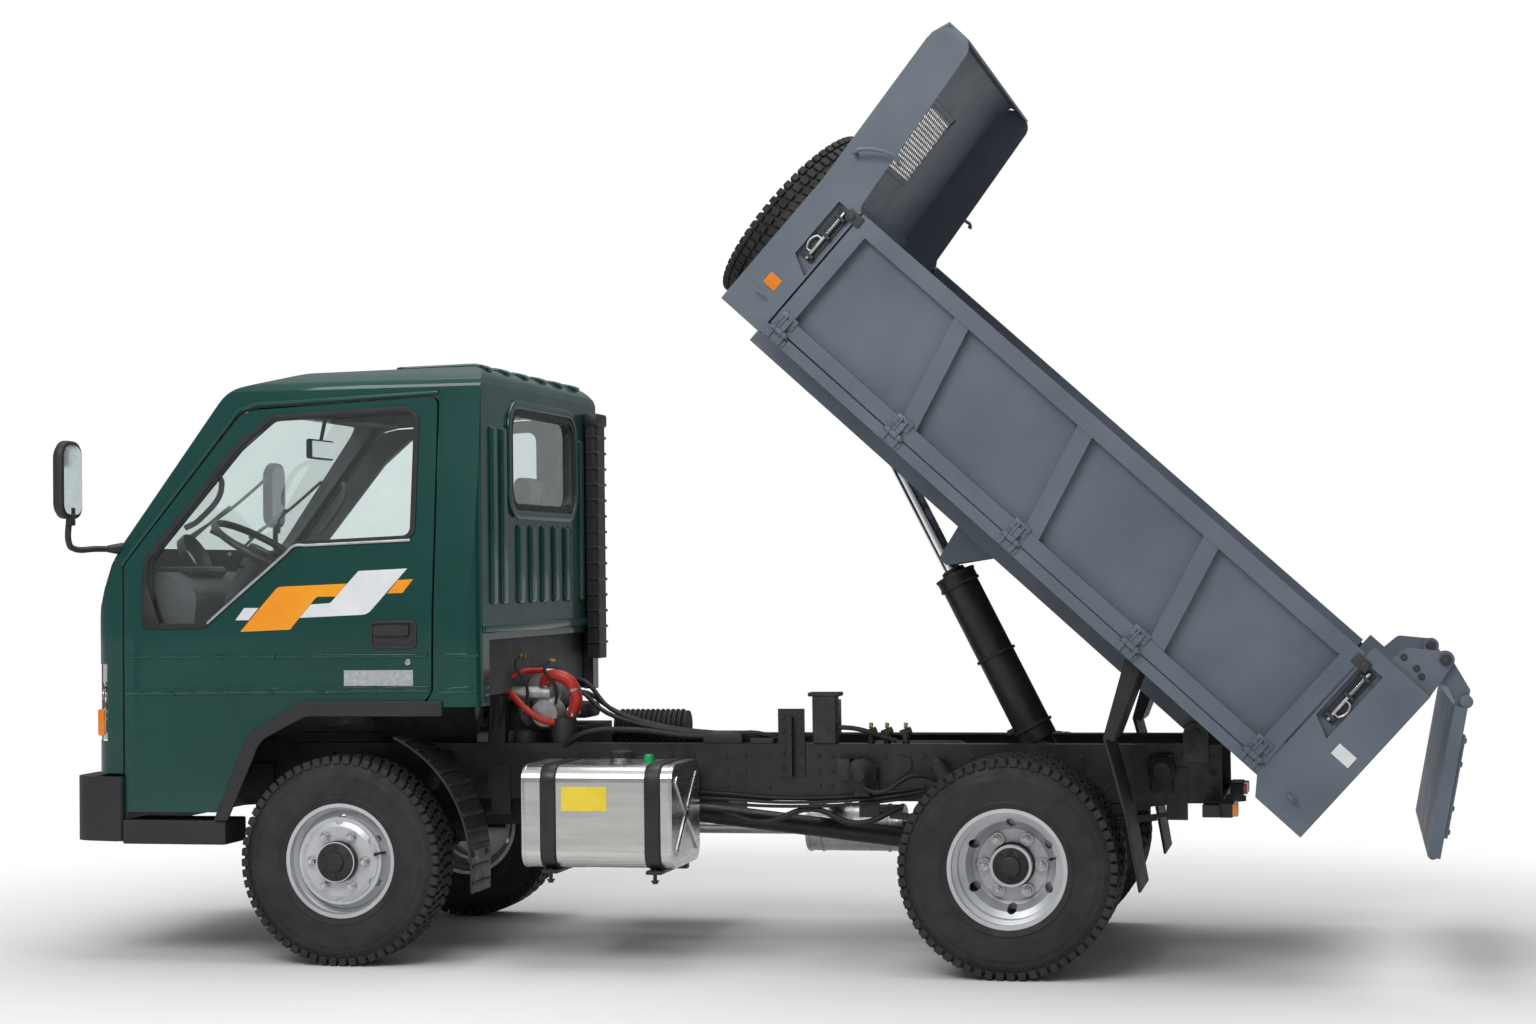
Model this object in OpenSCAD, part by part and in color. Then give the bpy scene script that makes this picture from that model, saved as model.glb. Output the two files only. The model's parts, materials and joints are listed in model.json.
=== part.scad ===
// Light cab-over dump truck with its bed raised and its tailgate hanging open.
// Forward is -X, the driver's side is -Y, and Z = 0 is the ground.
// Sizes along the truck are measured rearward from the front axle.

/* [Wheels] */
// Distance between the axles
wheelbase = 2460; // [2200:10:3000]
// Outside diameter of a tyre
tyre_d = 770; // [700:5:820]
// Width of a tyre across its sidewalls
tyre_w = 185; // [160:5:195]
// Distance of the outermost sidewall from the centre line
wheel_out = 800; // [780:5:860]
// Gap between the two tyres of a rear pair
dual_gap = 20; // [12:1:40]
// Diameter of the circle through the wheel studs
stud_pcd = 206; // [180:2:222]

/* [Chassis frame] */
// Width over the two frame rails
frame_w = 700; // [640:10:740]
// Height of the rails' lower edge above the ground
frame_low = 580; // [520:5:640]
// Height of a rail
rail_h = 210; // [150:5:220]
// Width of a rail's flanges
rail_flange = 60; // [45:1:70]
// Thickness of a rail's steel
rail_t = 7; // [5:0.5:10]
// Front end of the rails, ahead of the front axle
frame_front = 930; // [900:5:960]
// Rear end of the rails, behind the rear axle
frame_tail = 720; // [690:5:760]

/* [Cab] */
// Front of the bumper, ahead of the front axle
bumper_front = 1100; // [1085:5:1160]
// Front of the cab's face, ahead of the front axle
cab_front = 1035; // [1015:5:1045]
// Rear wall of the cab, behind the front axle
cab_rear = 545; // [500:5:570]
// Width of the cab below the windows
cab_w = 1600; // [1560:10:1700]
// Width of the cab at the gutter
cab_top_w = 1480; // [1400:10:1560]
// Height of the roof
cab_top = 2205; // [2120:5:2300]
// Thickness of a door and of the cab's walls
wall_t = 40; // [30:1:50]
// Gap round a door
door_gap = 8; // [6:0.5:12]
// Furthest that the cab tips forward, in degrees
cab_tilt_max = 40; // [20:1:45]

/* [Bed] */
// Length of the bed over its posts
bed_len = 2735; // [2500:5:2900]
// Width of the bed over its side gates
bed_w = 1700; // [1640:10:1840]
// Height of a side gate
gate_h = 500; // [400:5:600]
// Thickness of a side gate with its ribs
gate_t = 40; // [30:1:50]
// Width of the front posts, along the bed
front_post_w = 186; // [120:2:220]
// Width of the rear posts, along the bed
rear_post_w = 245; // [180:5:280]
// Height of the guard over the cab, above the side gates
guard_h = 700; // [500:5:800]
// How far the bed reaches behind its pivot
bed_overhang = 485; // [400:5:520]
// Angle of the bed as it stands, in degrees
bed_angle = 42.5; // [30:0.5:50]

/* [Hidden] */
$fn = 48;

// Wheels
tyre_r = tyre_d / 2;
bead_r = 203;
rim_flange_r = 222;
rim_half = 78;
rim_t = 6;
hub_r = 74;
hub_bore_r = 30;
drum_r = 160;
stud_count = 6;
stud_hole_r = 10.25;
fit = 0.05;
seat_gap = 0.3;
front_mid_y = wheel_out - tyre_w / 2;
dual_pitch = tyre_w + dual_gap;
rear_out_y = front_mid_y;
rear_in_y = rear_out_y - dual_pitch;
dish = dual_pitch / 2;
kingpin_y = front_mid_y - 150;
kingpin_r = 16;

// Frame
frame_top = frame_low + rail_h;
rail_out = frame_w / 2;
rail_in = rail_out - rail_flange;
frame_end = wheelbase + frame_tail;

// Bed and its pivot
pivot_x = wheelbase + 630;
pivot_z = frame_top + 35;
bed_front = bed_overhang - bed_len;
sill_low = 80;
sill_high = 120;
floor_t = 5;
beam_low = -14;
beam_out = rail_out - 8;
bed_side = bed_w / 2;
bed_in = bed_side - gate_t;
gate_gap = 6;
gate_low = sill_high + gate_gap;
gate_top = gate_low + gate_h;
gate_front = bed_front + front_post_w;
gate_rear = bed_overhang - rear_post_w;
gate_hinge = [bed_side + 12, sill_high + 3];
rear_post_top = gate_top + 34;
rear_post_low = 20;
guard_top = gate_top + guard_h;
guard_lean = 45;
pivot_pin_r = 20;
latch_depth = 26;

// Tailgate, drawn shut and then swung to where it hangs
tail_pivot = [bed_overhang - 45, rear_post_top + 125];
tail_plate = [bed_overhang + 10, bed_overhang + 52];
tail_low = sill_high + 10;
tail_top = gate_top + 14;
tail_com = [(tail_plate[0] + tail_plate[1]) / 2 - tail_pivot[0] - 3, tail_pivot[1] - (tail_low + tail_top) / 2 - 22];
tail_lean = atan(tail_com[0] / tail_com[1]);
tail_open = bed_angle - tail_lean;
tail_tab_r = 30;

// Hoist: the foot on the chassis and the rod's eye under the bed
hoist_foot = [wheelbase + 50, frame_top - 50];
hoist_eye_bed = [-1616, 22];
hoist_eye = [pivot_x + hoist_eye_bed[0] * cos(bed_angle) + hoist_eye_bed[1] * sin(bed_angle),
             pivot_z - hoist_eye_bed[0] * sin(bed_angle) + hoist_eye_bed[1] * cos(bed_angle)];
hoist_reach = hoist_foot - hoist_eye;
hoist_len = norm(hoist_reach);
hoist_angle = atan2(hoist_eye[1] - hoist_foot[1], hoist_foot[0] - hoist_eye[0]);
barrel_r = 71;
barrel_len = 750;
rod_r = 31;
rod_in = 130;

// Cab
cab_half = cab_w / 2;
door_front = -855;
door_rear = cab_rear - 165;
cab_low = 950;
nose_low = 700;
belt_z = 1300;
cab_pivot = [-frame_front + 50, frame_low + 80];
door_hinge = [door_front + 15, cab_half - 6];
deck_z = 980;
foot_z = frame_top + 25;
deck_front = -455;

// The rearmost point is the shoulder of the hanging tailgate's arms
tail_shoulder = [tail_plate[1] - tail_pivot[0], tail_top + 60 - tail_pivot[1]];
rear_x = pivot_x + tail_pivot[0] * cos(bed_angle) + tail_pivot[1] * sin(bed_angle)
    + tail_shoulder[0] * cos(tail_lean) + tail_shoulder[1] * sin(tail_lean);
mid_x = (rear_x - bumper_front) / 2;

// ---- helpers ----

// Corners [x, y, radius] turned into a closed outline, each round corner in n steps
function unit(v) = v / norm(v);
function corner(a, b, c, r, n) =
    r <= 0 ? [b] :
    let (u = unit(a - b), w = unit(c - b), half = acos(u * w) / 2,
         p = b + u * r / tan(half), q = b + w * r / tan(half),
         m = b + unit(u + w) * r / sin(half),
         a0 = atan2(p.y - m.y, p.x - m.x), a1 = atan2(q.y - m.y, q.x - m.x),
         turn = a1 - a0 > 180 ? a1 - a0 - 360 : a1 - a0 < -180 ? a1 - a0 + 360 : a1 - a0)
    [for (i = [0:n]) m + r * [cos(a0 + turn * i / n), sin(a0 + turn * i / n)]];
function rounded(pts, n = 4) =
    [for (i = [0:len(pts) - 1])
        let (last = len(pts), a = pts[(i + last - 1) % last], b = pts[i], c = pts[(i + 1) % last])
        each corner([a.x, a.y], [b.x, b.y], [c.x, c.y], len(b) > 2 ? b[2] : 0, n)];

module truck() translate([-mid_x, 0, 0]) children();
module bed() truck() translate([pivot_x, 0, pivot_z]) rotate([0, bed_angle, 0]) children();
module slab_x(x0, x1) translate([x0, 0, 0]) rotate([90, 0, 90]) linear_extrude(x1 - x0) children();
module slab_y(y0, y1) translate([0, y1, 0]) rotate([90, 0, 0]) linear_extrude(y1 - y0) children();
module slab_z(z0, z1) translate([0, 0, z0]) linear_extrude(z1 - z0) children();
module box(low, high) translate(low) cube(high - low);
module both_sides() {
    children();
    mirror([0, 1, 0]) children();
}
module pin_y(x, z, r, y0, y1) translate([x, y1, z]) rotate([90, 0, 0]) cylinder(r = r, h = y1 - y0);
// Stands a shape drawn outward along +Z on the wheel's axis at the given side
module wheel_at(x, y, side) translate([x, side * y, tyre_r]) rotate([side * -90, 0, 0]) children();
LEFT = -1;
RIGHT = 1;

// ---- wheels ----

module tyre_ring() {
    shoulder = tyre_r - 18;
    rotate_extrude($fn = 96) polygon(rounded([
        [bead_r + seat_gap, -70], [rim_flange_r + 2, -71], [300, -tyre_w / 2, 40],
        [shoulder, -tyre_w / 2 + 8, 20], [tyre_r, -tyre_w / 2 + 28, 8],
        [tyre_r, tyre_w / 2 - 28, 8], [shoulder, tyre_w / 2 - 8, 20],
        [300, tyre_w / 2, 40], [rim_flange_r + 2, 71], [bead_r + seat_gap, 70]]));
}

// The rim's rolled section, as [radius, offset outward]
module rim_ring() {
    rotate_extrude($fn = 96) polygon([
        [rim_flange_r, rim_half], [rim_flange_r, 72], [bead_r, 70], [bead_r, 42], [188, 32],
        [188, -32], [bead_r, -42], [bead_r, -70], [rim_flange_r, -72], [rim_flange_r, -rim_half],
        [bead_r - rim_t, -rim_half + 2], [bead_r - rim_t, -40], [188 - rim_t, -30],
        [188 - rim_t, 30], [bead_r - rim_t, 40], [bead_r - rim_t, rim_half - 2]]);
}

// Disc from the rim's well out to the hub face, face at offset w
module rim_disc(w) {
    s = sign(w);
    base = s * 22;
    difference() {
        rotate_extrude($fn = 96) polygon([
            [186, base], [168, base + s * 14], [146, w - s * 10], [128, w], [hub_r, w],
            [hub_r, w - s * 8], [125, w - s * 8], [140, w - s * 17], [160, base + s * 4], [184, base - s * 10]]);
        for (i = [0:stud_count - 1]) {
            rotate([0, 0, i * 360 / stud_count]) translate([stud_pcd / 2, 0, -200])
                cylinder(r = stud_hole_r, h = 400);
            rotate([0, 0, (i + 0.5) * 360 / stud_count]) translate([151, 0, -200])
                cylinder(r = 17, h = 400);
        }
    }
}

module hub_studs(face, s) {
    for (i = [0:stud_count - 1])
        rotate([0, 0, i * 360 / stud_count]) translate([stud_pcd / 2, 0, min(face - s * 12, face + s * 28)])
            cylinder(r = 8, h = 40);
}

module front_rim() {
    face = dish - 14;
    rim_ring();
    rim_disc(face);
    difference() {
        union() {
            translate([0, 0, face - 76]) cylinder(r = drum_r, h = 62);
            translate([0, 0, face - 20]) cylinder(r = hub_r + 45, h = 12);
            translate([0, 0, face - 16]) cylinder(r = hub_r, h = 50);
        }
        translate([0, 0, face - 100]) cylinder(r = hub_bore_r + fit, h = 110);
        translate([0, 0, face - 90]) cylinder(r = drum_r - 12, h = 60);
    }
    hub_studs(face, 1);
}

// Rear pair: drawn about the outer tyre's middle plane
module rear_rims() {
    rim_ring();
    translate([0, 0, -dual_pitch]) rim_ring();
    rim_disc(-dish);
    translate([0, 0, -dual_pitch]) rim_disc(dish - 0.01);
    difference() {
        union() {
            translate([0, 0, -dish - 100]) cylinder(r = drum_r, h = 84);
            translate([0, 0, -dish - 20]) cylinder(r = hub_r + 45, h = 12);
            translate([0, 0, -dish - 16]) cylinder(r = hub_r, h = 90);
        }
        translate([0, 0, -dish - 120]) cylinder(r = hub_bore_r + fit, h = 150);
        translate([0, 0, -dish - 110]) cylinder(r = drum_r - 12, h = 82);
    }
    hub_studs(-dish, 1);
}

module front_tyre(side) truck() color([0.09, 0.09, 0.09]) wheel_at(0, front_mid_y, side) tyre_ring();
module front_wheel(side) truck() color([0.8, 0.81, 0.83]) wheel_at(0, front_mid_y, side) front_rim();
module rear_tyres(side) truck() color([0.09, 0.09, 0.09]) {
    wheel_at(wheelbase, rear_out_y, side) tyre_ring();
    wheel_at(wheelbase, rear_in_y, side) tyre_ring();
}
module rear_wheel(side) truck() color([0.8, 0.81, 0.83]) wheel_at(wheelbase, rear_out_y, side) rear_rims();
module front_tyre_left() front_tyre(LEFT);
module front_tyre_right() front_tyre(RIGHT);
module front_rim_left() front_wheel(LEFT);
module front_rim_right() front_wheel(RIGHT);
module rear_tyres_left() rear_tyres(LEFT);
module rear_tyres_right() rear_tyres(RIGHT);
module rear_rims_left() rear_wheel(LEFT);
module rear_rims_right() rear_wheel(RIGHT);

// ---- axles and steering ----

eye_h = 76;
module front_axle() truck() color([0.1, 0.1, 0.11]) {
    difference() {
        union() {
            both_sides() {
                translate([0, kingpin_y, tyre_r - eye_h / 2]) cylinder(r = 34, h = eye_h);
                slab_x(-30, 30) polygon([[430, tyre_r - 60], [kingpin_y - 10, tyre_r - 26],
                    [kingpin_y - 10, tyre_r + 26], [430, tyre_r + 10]]);
            }
            box([-30, -435, tyre_r - 60], [30, 435, tyre_r + 10]);
        }
        both_sides() translate([0, kingpin_y, tyre_r - eye_h]) cylinder(r = kingpin_r + fit, h = eye_h * 2);
    }
    both_sides() box([-60, rail_in, tyre_r + 10], [60, rail_out - 5, tyre_r + 22]);
}

module knuckle(side) truck() color([0.13, 0.13, 0.14]) {
    spindle_end = front_mid_y + dish - 10;
    scale([1, side, 1]) {
        translate([0, kingpin_y, tyre_r - eye_h / 2 - 20]) cylinder(r = kingpin_r, h = eye_h + 40);
        for (z = [tyre_r + eye_h / 2 + 5, tyre_r - eye_h / 2 - 25]) {
            translate([0, kingpin_y, z]) cylinder(r = 30, h = 20);
            box([-26, kingpin_y, z], [26, kingpin_y + 56, z + 20]);
        }
        box([-34, kingpin_y + 44, tyre_r - eye_h / 2 - 25], [34, kingpin_y + 62, tyre_r + eye_h / 2 + 25]);
        pin_y(0, tyre_r, hub_bore_r, kingpin_y + 60, spindle_end - 12);
        box([30, kingpin_y + 46, tyre_r - 12], [170, kingpin_y + 60, tyre_r + 12]);
    }
}
module knuckle_left() knuckle(LEFT);
module knuckle_right() knuckle(RIGHT);

module rear_axle() truck() color([0.1, 0.1, 0.11]) {
    drum_back = rear_out_y - dish - 100;
    pin_y(wheelbase, tyre_r, 52, -drum_back + 16, drum_back - 16);
    translate([wheelbase, 0, tyre_r]) sphere(r = 150);
    translate([wheelbase - 250, 0, tyre_r]) rotate([0, 90, 0]) cylinder(r = 60, h = 130);
    both_sides() {
        pin_y(wheelbase, tyre_r, 135, drum_back - 16, drum_back - 8);
        pin_y(wheelbase, tyre_r, hub_bore_r, drum_back - 20, drum_back + 118);
        box([wheelbase - 60, rail_in, tyre_r + 40], [wheelbase + 60, rail_out - 5, tyre_r + 62]);
    }
}

// Leaf packs: [middle x, z under the pack, half span, rise, leaves]
SPRINGS = [[0, tyre_r + 22, 480, 90, 5],
           [wheelbase, tyre_r + 62, 560, 40, 6]];
leaf_t = 10;
leaf_w = 55;
spring_eye_r = 24;
function spring_r(s) = (s[2] * s[2] + s[3] * s[3]) / (2 * s[3]);
function spring_mid(s) = s[1] + spring_r(s) + (s[4] - 1) * leaf_t;
function spring_eye(s) = spring_mid(s) - sqrt(pow(spring_r(s), 2) - pow(s[2], 2)) + spring_eye_r - leaf_t;
leaf_steps = 12;
function arc_pts(r, a) = [for (i = [0:leaf_steps]) r * [sin(a * (2 * i / leaf_steps - 1)), -cos(a * (2 * i / leaf_steps - 1))]];
module leaf_arc(r, half) {
    a = asin(half / r);
    inner = arc_pts(r - leaf_t - 0.8, a);
    linear_extrude(leaf_w) polygon(concat(arc_pts(r, a), [for (i = [leaf_steps:-1:0]) inner[i]]));
}
module leaf_springs() truck() color([0.1, 0.1, 0.11]) both_sides() for (s = SPRINGS) {
    translate([s[0], rail_out - 2, spring_mid(s)]) rotate([90, 0, 0])
        for (i = [0:s[4] - 1]) leaf_arc(spring_r(s) + i * leaf_t, s[2] * (1 - 0.78 * i / s[4]));
    for (e = [-1, 1]) pin_y(s[0] + e * s[2], spring_eye(s), spring_eye_r, rail_out - 2 - leaf_w, rail_out - 2);
}

// ---- chassis ----

// Cross members: [x, length along x, low z, height, half width]; the front one ends at the cab's tilt lugs
member_end = rail_out - rail_t;
CROSS = [[-frame_front + 40, 80, frame_low, 38, rail_in - 20], [-330, 60, frame_low, 60, member_end],
         [1010, 70, frame_low + 10, 130, member_end], [1660, 60, frame_low, 60, member_end],
         [wheelbase + 50, 150, frame_low, 76, member_end], [frame_end - 70, 60, frame_low + 10, 140, member_end]];
// Rest posts at the bed's sides: [x, width, top above the frame]
rest_post = [1610, 100, 130];
// Tow eye: reach behind the frame and the hole's radius
tow_eye = [30, 16];
module rail(y0) {
    difference() {
        box([-frame_front, y0, frame_low], [frame_end, y0 + rail_flange, frame_top]);
        box([-frame_front - 1, y0 - 1, frame_low + rail_t], [frame_end + 1, y0 + rail_flange - rail_t, frame_top - rail_t]);
    }
}
module chassis_rail() difference() {
    union() {
        rail(rail_in);
        // rest post
        box([rest_post[0] - rest_post[1] / 2, rail_out, frame_low + 90],
            [rest_post[0] + rest_post[1] / 2, rail_out + 8, frame_top + rest_post[2]]);
        box([rest_post[0] - 8, rail_out + 7, frame_low + 90], [rest_post[0] + 8, rail_out + 40, frame_top + rest_post[2] - 30]);
        // bed pivot lugs and pin
        for (y = [rail_in - 18, rail_out + 6]) {
            box([pivot_x - 45, y, frame_top - 60], [pivot_x + 45, y + 12, pivot_z]);
            pin_y(pivot_x, pivot_z, 45, y, y + 12);
        }
        box([pivot_x - 45, rail_out - 1, frame_top - 60], [pivot_x + 45, rail_out + 7, frame_top - 5]);
        box([pivot_x - 45, rail_in - 18, frame_top - 60], [pivot_x + 45, rail_out - 1, frame_top - 52]);
        pin_y(pivot_x, pivot_z, pivot_pin_r, rail_in - 19, rail_out + 22);
        // spring hangers
        for (s = SPRINGS) for (e = [-1, 1])
            box([s[0] + e * s[2] - 38, rail_out - 2, spring_eye(s) - 30], [s[0] + e * s[2] + 38, rail_out + 8, frame_low + 130]);
        // outrigger brackets of the tank and battery
        for (x = [820, 1190]) box([x - 25, rail_out - 1, frame_low + 20], [x + 25, rail_out + 30, frame_low + 150]);
        // cab tilt lug, and post of the rest under the cab's rear
        box([cab_pivot[0] - 40, rail_in - 20, frame_low], [cab_pivot[0] + 40, rail_in + 4, cab_pivot[1] + 40]);
        box([cab_rear - 110, rail_in, frame_top - 1], [cab_rear - 50, rail_out, deck_z - 10]);
    }
    pin_y(cab_pivot[0], cab_pivot[1], 18 + fit, rail_in - 30, rail_in + 10);
}
module chassis_rail_left() truck() color([0.08, 0.08, 0.09]) mirror([0, 1, 0]) chassis_rail();
module chassis_rail_right() truck() color([0.08, 0.08, 0.09]) chassis_rail();

// A member between the rails, cut round their flanges, with what is welded to it
module member(c) truck() color([0.08, 0.08, 0.09]) difference() {
    union() {
        box([c[0] - c[1] / 2, -c[4], c[2]], [c[0] + c[1] / 2, c[4], c[2] + c[3]]);
        children();
    }
    both_sides() rail(rail_in);
}
module cross_member_front() member(CROSS[0]);
module cross_member_engine() member(CROSS[1]);
module cross_member_gearbox() member(CROSS[2]);
module cross_member_middle() member(CROSS[3]);
module cross_member_hoist() member(CROSS[4]) {
    both_sides() {
        box([hoist_foot[0] - 45, 66, frame_low + 60], [hoist_foot[0] + 45, 80, hoist_foot[1]]);
        pin_y(hoist_foot[0], hoist_foot[1], 45, 66, 80);
    }
    pin_y(hoist_foot[0], hoist_foot[1], pivot_pin_r, -81, 81);
}
module cross_member_rear() difference() {
    member(CROSS[5]) {
        // cross tube that carries the lamps
        box([frame_end - 60, -560, frame_low - 30], [frame_end, 560, frame_low + 12]);
        // tow eye
        box([frame_end - 1, -40, frame_low - 20], [frame_end + tow_eye[0], 40, frame_low]);
        translate([frame_end + tow_eye[0], 0, frame_low - 20]) cylinder(r = 40, h = 20);
    }
    truck() translate([frame_end + tow_eye[0], 0, frame_low - 30]) cylinder(r = tow_eye[1], h = 40);
}
module cab_rest() truck() color([0.08, 0.08, 0.09])
    box([cab_rear - 110, -rail_in, deck_z - 45], [cab_rear - 50, rail_in, deck_z - 10]);

module front_mudguards() truck() color([0.07, 0.07, 0.07]) both_sides() {
    arc_r = tyre_r + 110;
    translate([0, front_mid_y + 75, tyre_r]) rotate([90, 0, 0])
        rotate_extrude(angle = 65, $fn = 96) translate([arc_r, 0]) square([8, 230]);
    box([arc_r - 86, rail_out, frame_low + 60], [arc_r - 70, front_mid_y - 140, frame_low + 90]);
    box([arc_r + 2, front_mid_y - 150, 270], [arc_r + 9, front_mid_y + 60, tyre_r + 40]);
}

module engine_block() truck() color([0.25, 0.25, 0.26]) {
    box([-60, -210, 470], [595, 210, 930]);
    box([594, -200, 470], [760, 200, 845]);
    box([520, -180, 925], [594, 180, 1010]);
    box([755, -120, 480], [1010, 120, 560]);
}

module propshaft() truck() color([0.12, 0.12, 0.13]) {
    x0 = 1010;
    z0 = 520;
    x1 = wheelbase - 250;
    reach = [x1 - x0, tyre_r - z0];
    gap = 6;
    translate([x0, 0, z0]) rotate([0, 90 + atan2(z0 - tyre_r, x1 - x0), 0])
        translate([0, 0, gap]) cylinder(r = 38, h = norm(reach) - gap * 2);
}

module exhaust() truck() color([0.6, 0.6, 0.6]) {
    translate([1560, 190, 430]) rotate([0, 90, 0]) cylinder(r = 90, h = 380);
    translate([760, 190, 430]) rotate([0, 90, 0]) cylinder(r = 28, h = 801);
    box([1700, 180, 515], [1730, 200, frame_low + 5]);
}

tank_y = [rail_out + 30, 785];
module fuel_tank() truck() color([0.72, 0.72, 0.7]) {
    slab_x(700, 1262) polygon(rounded([[-tank_y[1], 368, 60], [-tank_y[0], 368, 60], [-tank_y[0], 738, 60], [-tank_y[1], 738, 60]], 6));
    translate([1030, -620, 730]) cylinder(r = 34, h = 34);
}
module battery_box() truck() color([0.1, 0.1, 0.1])
    box([740, rail_out + 30, 420], [1190, 720, 660]);

module tail_lights() truck() color([0.75, 0.08, 0.06]) both_sides()
    box([frame_end, 380, frame_low - 28], [frame_end + 60, 520, frame_low + 12]);

// ---- cab ----

module side_outline(t) polygon(rounded([
    [-cab_front + t, 560], [-cab_front + t, 1200, 160], [-cab_front + 125 + t, 1490, 120],
    [-450 + t * 1.5, cab_top - 75 - t, 150], [-170 + t, cab_top - 12 - t, 300],
    [cab_rear - t, cab_top - t, 70], [cab_rear - t, 560]], 5));
module plan_outline(t) polygon(rounded([
    [-cab_front + t, 0], [-cab_front + 30 + t, -cab_half + 60 + t, 130], [-cab_front + 240 + t, -cab_half + t, 150],
    [cab_rear - t, -cab_half + t, 60], [cab_rear - t, cab_half - t, 60],
    [-cab_front + 240 + t, cab_half - t, 150], [-cab_front + 30 + t, cab_half - 60 - t, 130]], 4));
module front_outline(t) polygon(rounded([
    [-cab_half + t, 560], [-cab_half + t, belt_z, 600], [-cab_top_w / 2 + t, cab_top - 60 - t, 40], [-cab_top_w / 2 + 110 + t, cab_top - t, 60],
    [cab_top_w / 2 - 110 - t, cab_top - t, 60], [cab_top_w / 2 - t, cab_top - 60 - t, 40], [cab_half - t, belt_z, 600], [cab_half - t, 560]], 4));
module cab_body(t) intersection() {
    slab_y(-cab_half, cab_half) side_outline(t);
    slab_z(500, cab_top + 10) plan_outline(t);
    slab_x(-cab_front - 10, cab_rear + 10) front_outline(t);
}
module cab_skin(outer, inner) difference() {
    cab_body(outer);
    cab_body(inner);
}

// Outlines seen from the side, as [x, z, radius]; g widens the door's gap
function door_pts(g) = [
    [door_front - g, 548 - g, 0], [-450 + g, 548 - g, 0], [-320 + g, 850 - g, 90], [-130 + g, 962 - g, 60],
    [door_rear - 40, 962 - g, 60], [door_rear - 15 + g, 1010, 20], [door_rear + g, 2085 + g, 30],
    [-330, 2055 + g, 60], [-395 - g, 2040 + g, 60], [door_front - g, 1478, 30]];
window_pts = [[-745, 1262, 20], [-530, 1262, 60], [-170, 1562, 50], [280, 1578, 30], [290, 2032, 40],
              [-270, 2012, 50], [-400, 1905, 40], [-745, 1500, 20]];

module cab_shell() truck() color([0.05, 0.27, 0.22]) difference() {
    cab_skin(0, wall_t);
    slab_y(-cab_half - 5, cab_half + 5) polygon(rounded(door_pts(door_gap)));
    // the front panel's own region, and what lies under the shell
    box([-cab_front - 20, -cab_half - 5, 400], [door_front - door_gap - 1, cab_half + 5, 1500]);
    box([-cab_front - 20, -cab_half - 5, 400], [cab_rear + 20, cab_half + 5, cab_low]);
    box([door_rear, -cab_half + 130, 400], [cab_rear + 20, cab_half - 130, 1190]);
    windscreen_hole();
    rear_window_hole();
}
module windscreen_hole() slab_x(-cab_front, -300) polygon(rounded([
    [-cab_half + 100, 1545, 50], [cab_half - 100, 1545, 50], [cab_top_w / 2 - 75, 2070, 60], [-cab_top_w / 2 + 75, 2070, 60]]));
module rear_window_hole() slab_x(cab_rear - wall_t - 20, cab_rear + 20) polygon(rounded([
    [-390, 1700, 60], [390, 1700, 60], [390, 2035, 60], [-390, 2035, 60]]));

headlamp_z = [820, 1110];
module front_panel() truck() color([0.05, 0.27, 0.22]) difference() {
    intersection() {
        cab_skin(0, wall_t);
        box([-cab_front - 20, -cab_half - 5, nose_low], [door_front - door_gap - 1.3, cab_half + 5, 1499.7]);
    }
    both_sides() box([-cab_front - 30, cab_half - 290, headlamp_z[0]], [-cab_front + 95, cab_half + 30, headlamp_z[1]]);
}
module headlamps() truck() color([0.85, 0.87, 0.88]) intersection() {
    cab_skin(2, wall_t - 5);
    both_sides() box([-cab_front - 30, cab_half - 289, headlamp_z[0] + 1], [-cab_front + 94, cab_half + 29, headlamp_z[1] - 1]);
}
module cab_glass() truck() color([0.55, 0.65, 0.68, 0.5]) {
    intersection() {
        cab_skin(14, 19);
        windscreen_hole();
    }
    intersection() {
        cab_skin(14, 19);
        rear_window_hole();
    }
}
module door(side) truck() color([0.05, 0.27, 0.22]) scale([1, side, 1]) difference() {
    intersection() {
        cab_skin(0, wall_t);
        slab_y(cab_half - 260, cab_half + 5) polygon(rounded(door_pts(0)));
    }
    slab_y(cab_half - 300, cab_half + 10) polygon(rounded(window_pts));
}
module door_left() door(LEFT);
module door_right() door(RIGHT);
module door_glass(side) truck() color([0.55, 0.65, 0.68, 0.5]) scale([1, side, 1]) intersection() {
    cab_skin(16, 21);
    slab_y(cab_half - 260, cab_half + 5) polygon(rounded(window_pts));
}
module door_glass_left() door_glass(LEFT);
module door_glass_right() door_glass(RIGHT);

module cab_floor() truck() color([0.15, 0.15, 0.16]) {
    half = cab_half - wall_t - 12;
    // footwell, riser, seat deck and rear upstand, all just inside the shell
    intersection() {
        cab_body(wall_t + 1);
        union() {
            box([-cab_front, -half + 40, foot_z], [deck_front, half - 40, foot_z + 12]);
            box([deck_front - 12, -half, foot_z], [deck_front, half, deck_z]);
            box([deck_front - 12, -half, deck_z], [cab_rear, half, deck_z + 12]);
            box([cab_rear - wall_t - 13, -half, deck_z], [cab_rear, half, 1195]);
        }
    }
    // tilt arms down to the pivot at the frame's front end
    both_sides() {
        pin_y(cab_pivot[0], cab_pivot[1], 33, rail_in - 50, rail_in - 26);
        box([cab_pivot[0] - 33, rail_in - 50, cab_pivot[1]], [cab_pivot[0] + 33, rail_in - 26, foot_z + 1]);
        pin_y(cab_pivot[0], cab_pivot[1], 18, rail_in - 27, rail_in + 3);
    }
}

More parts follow.
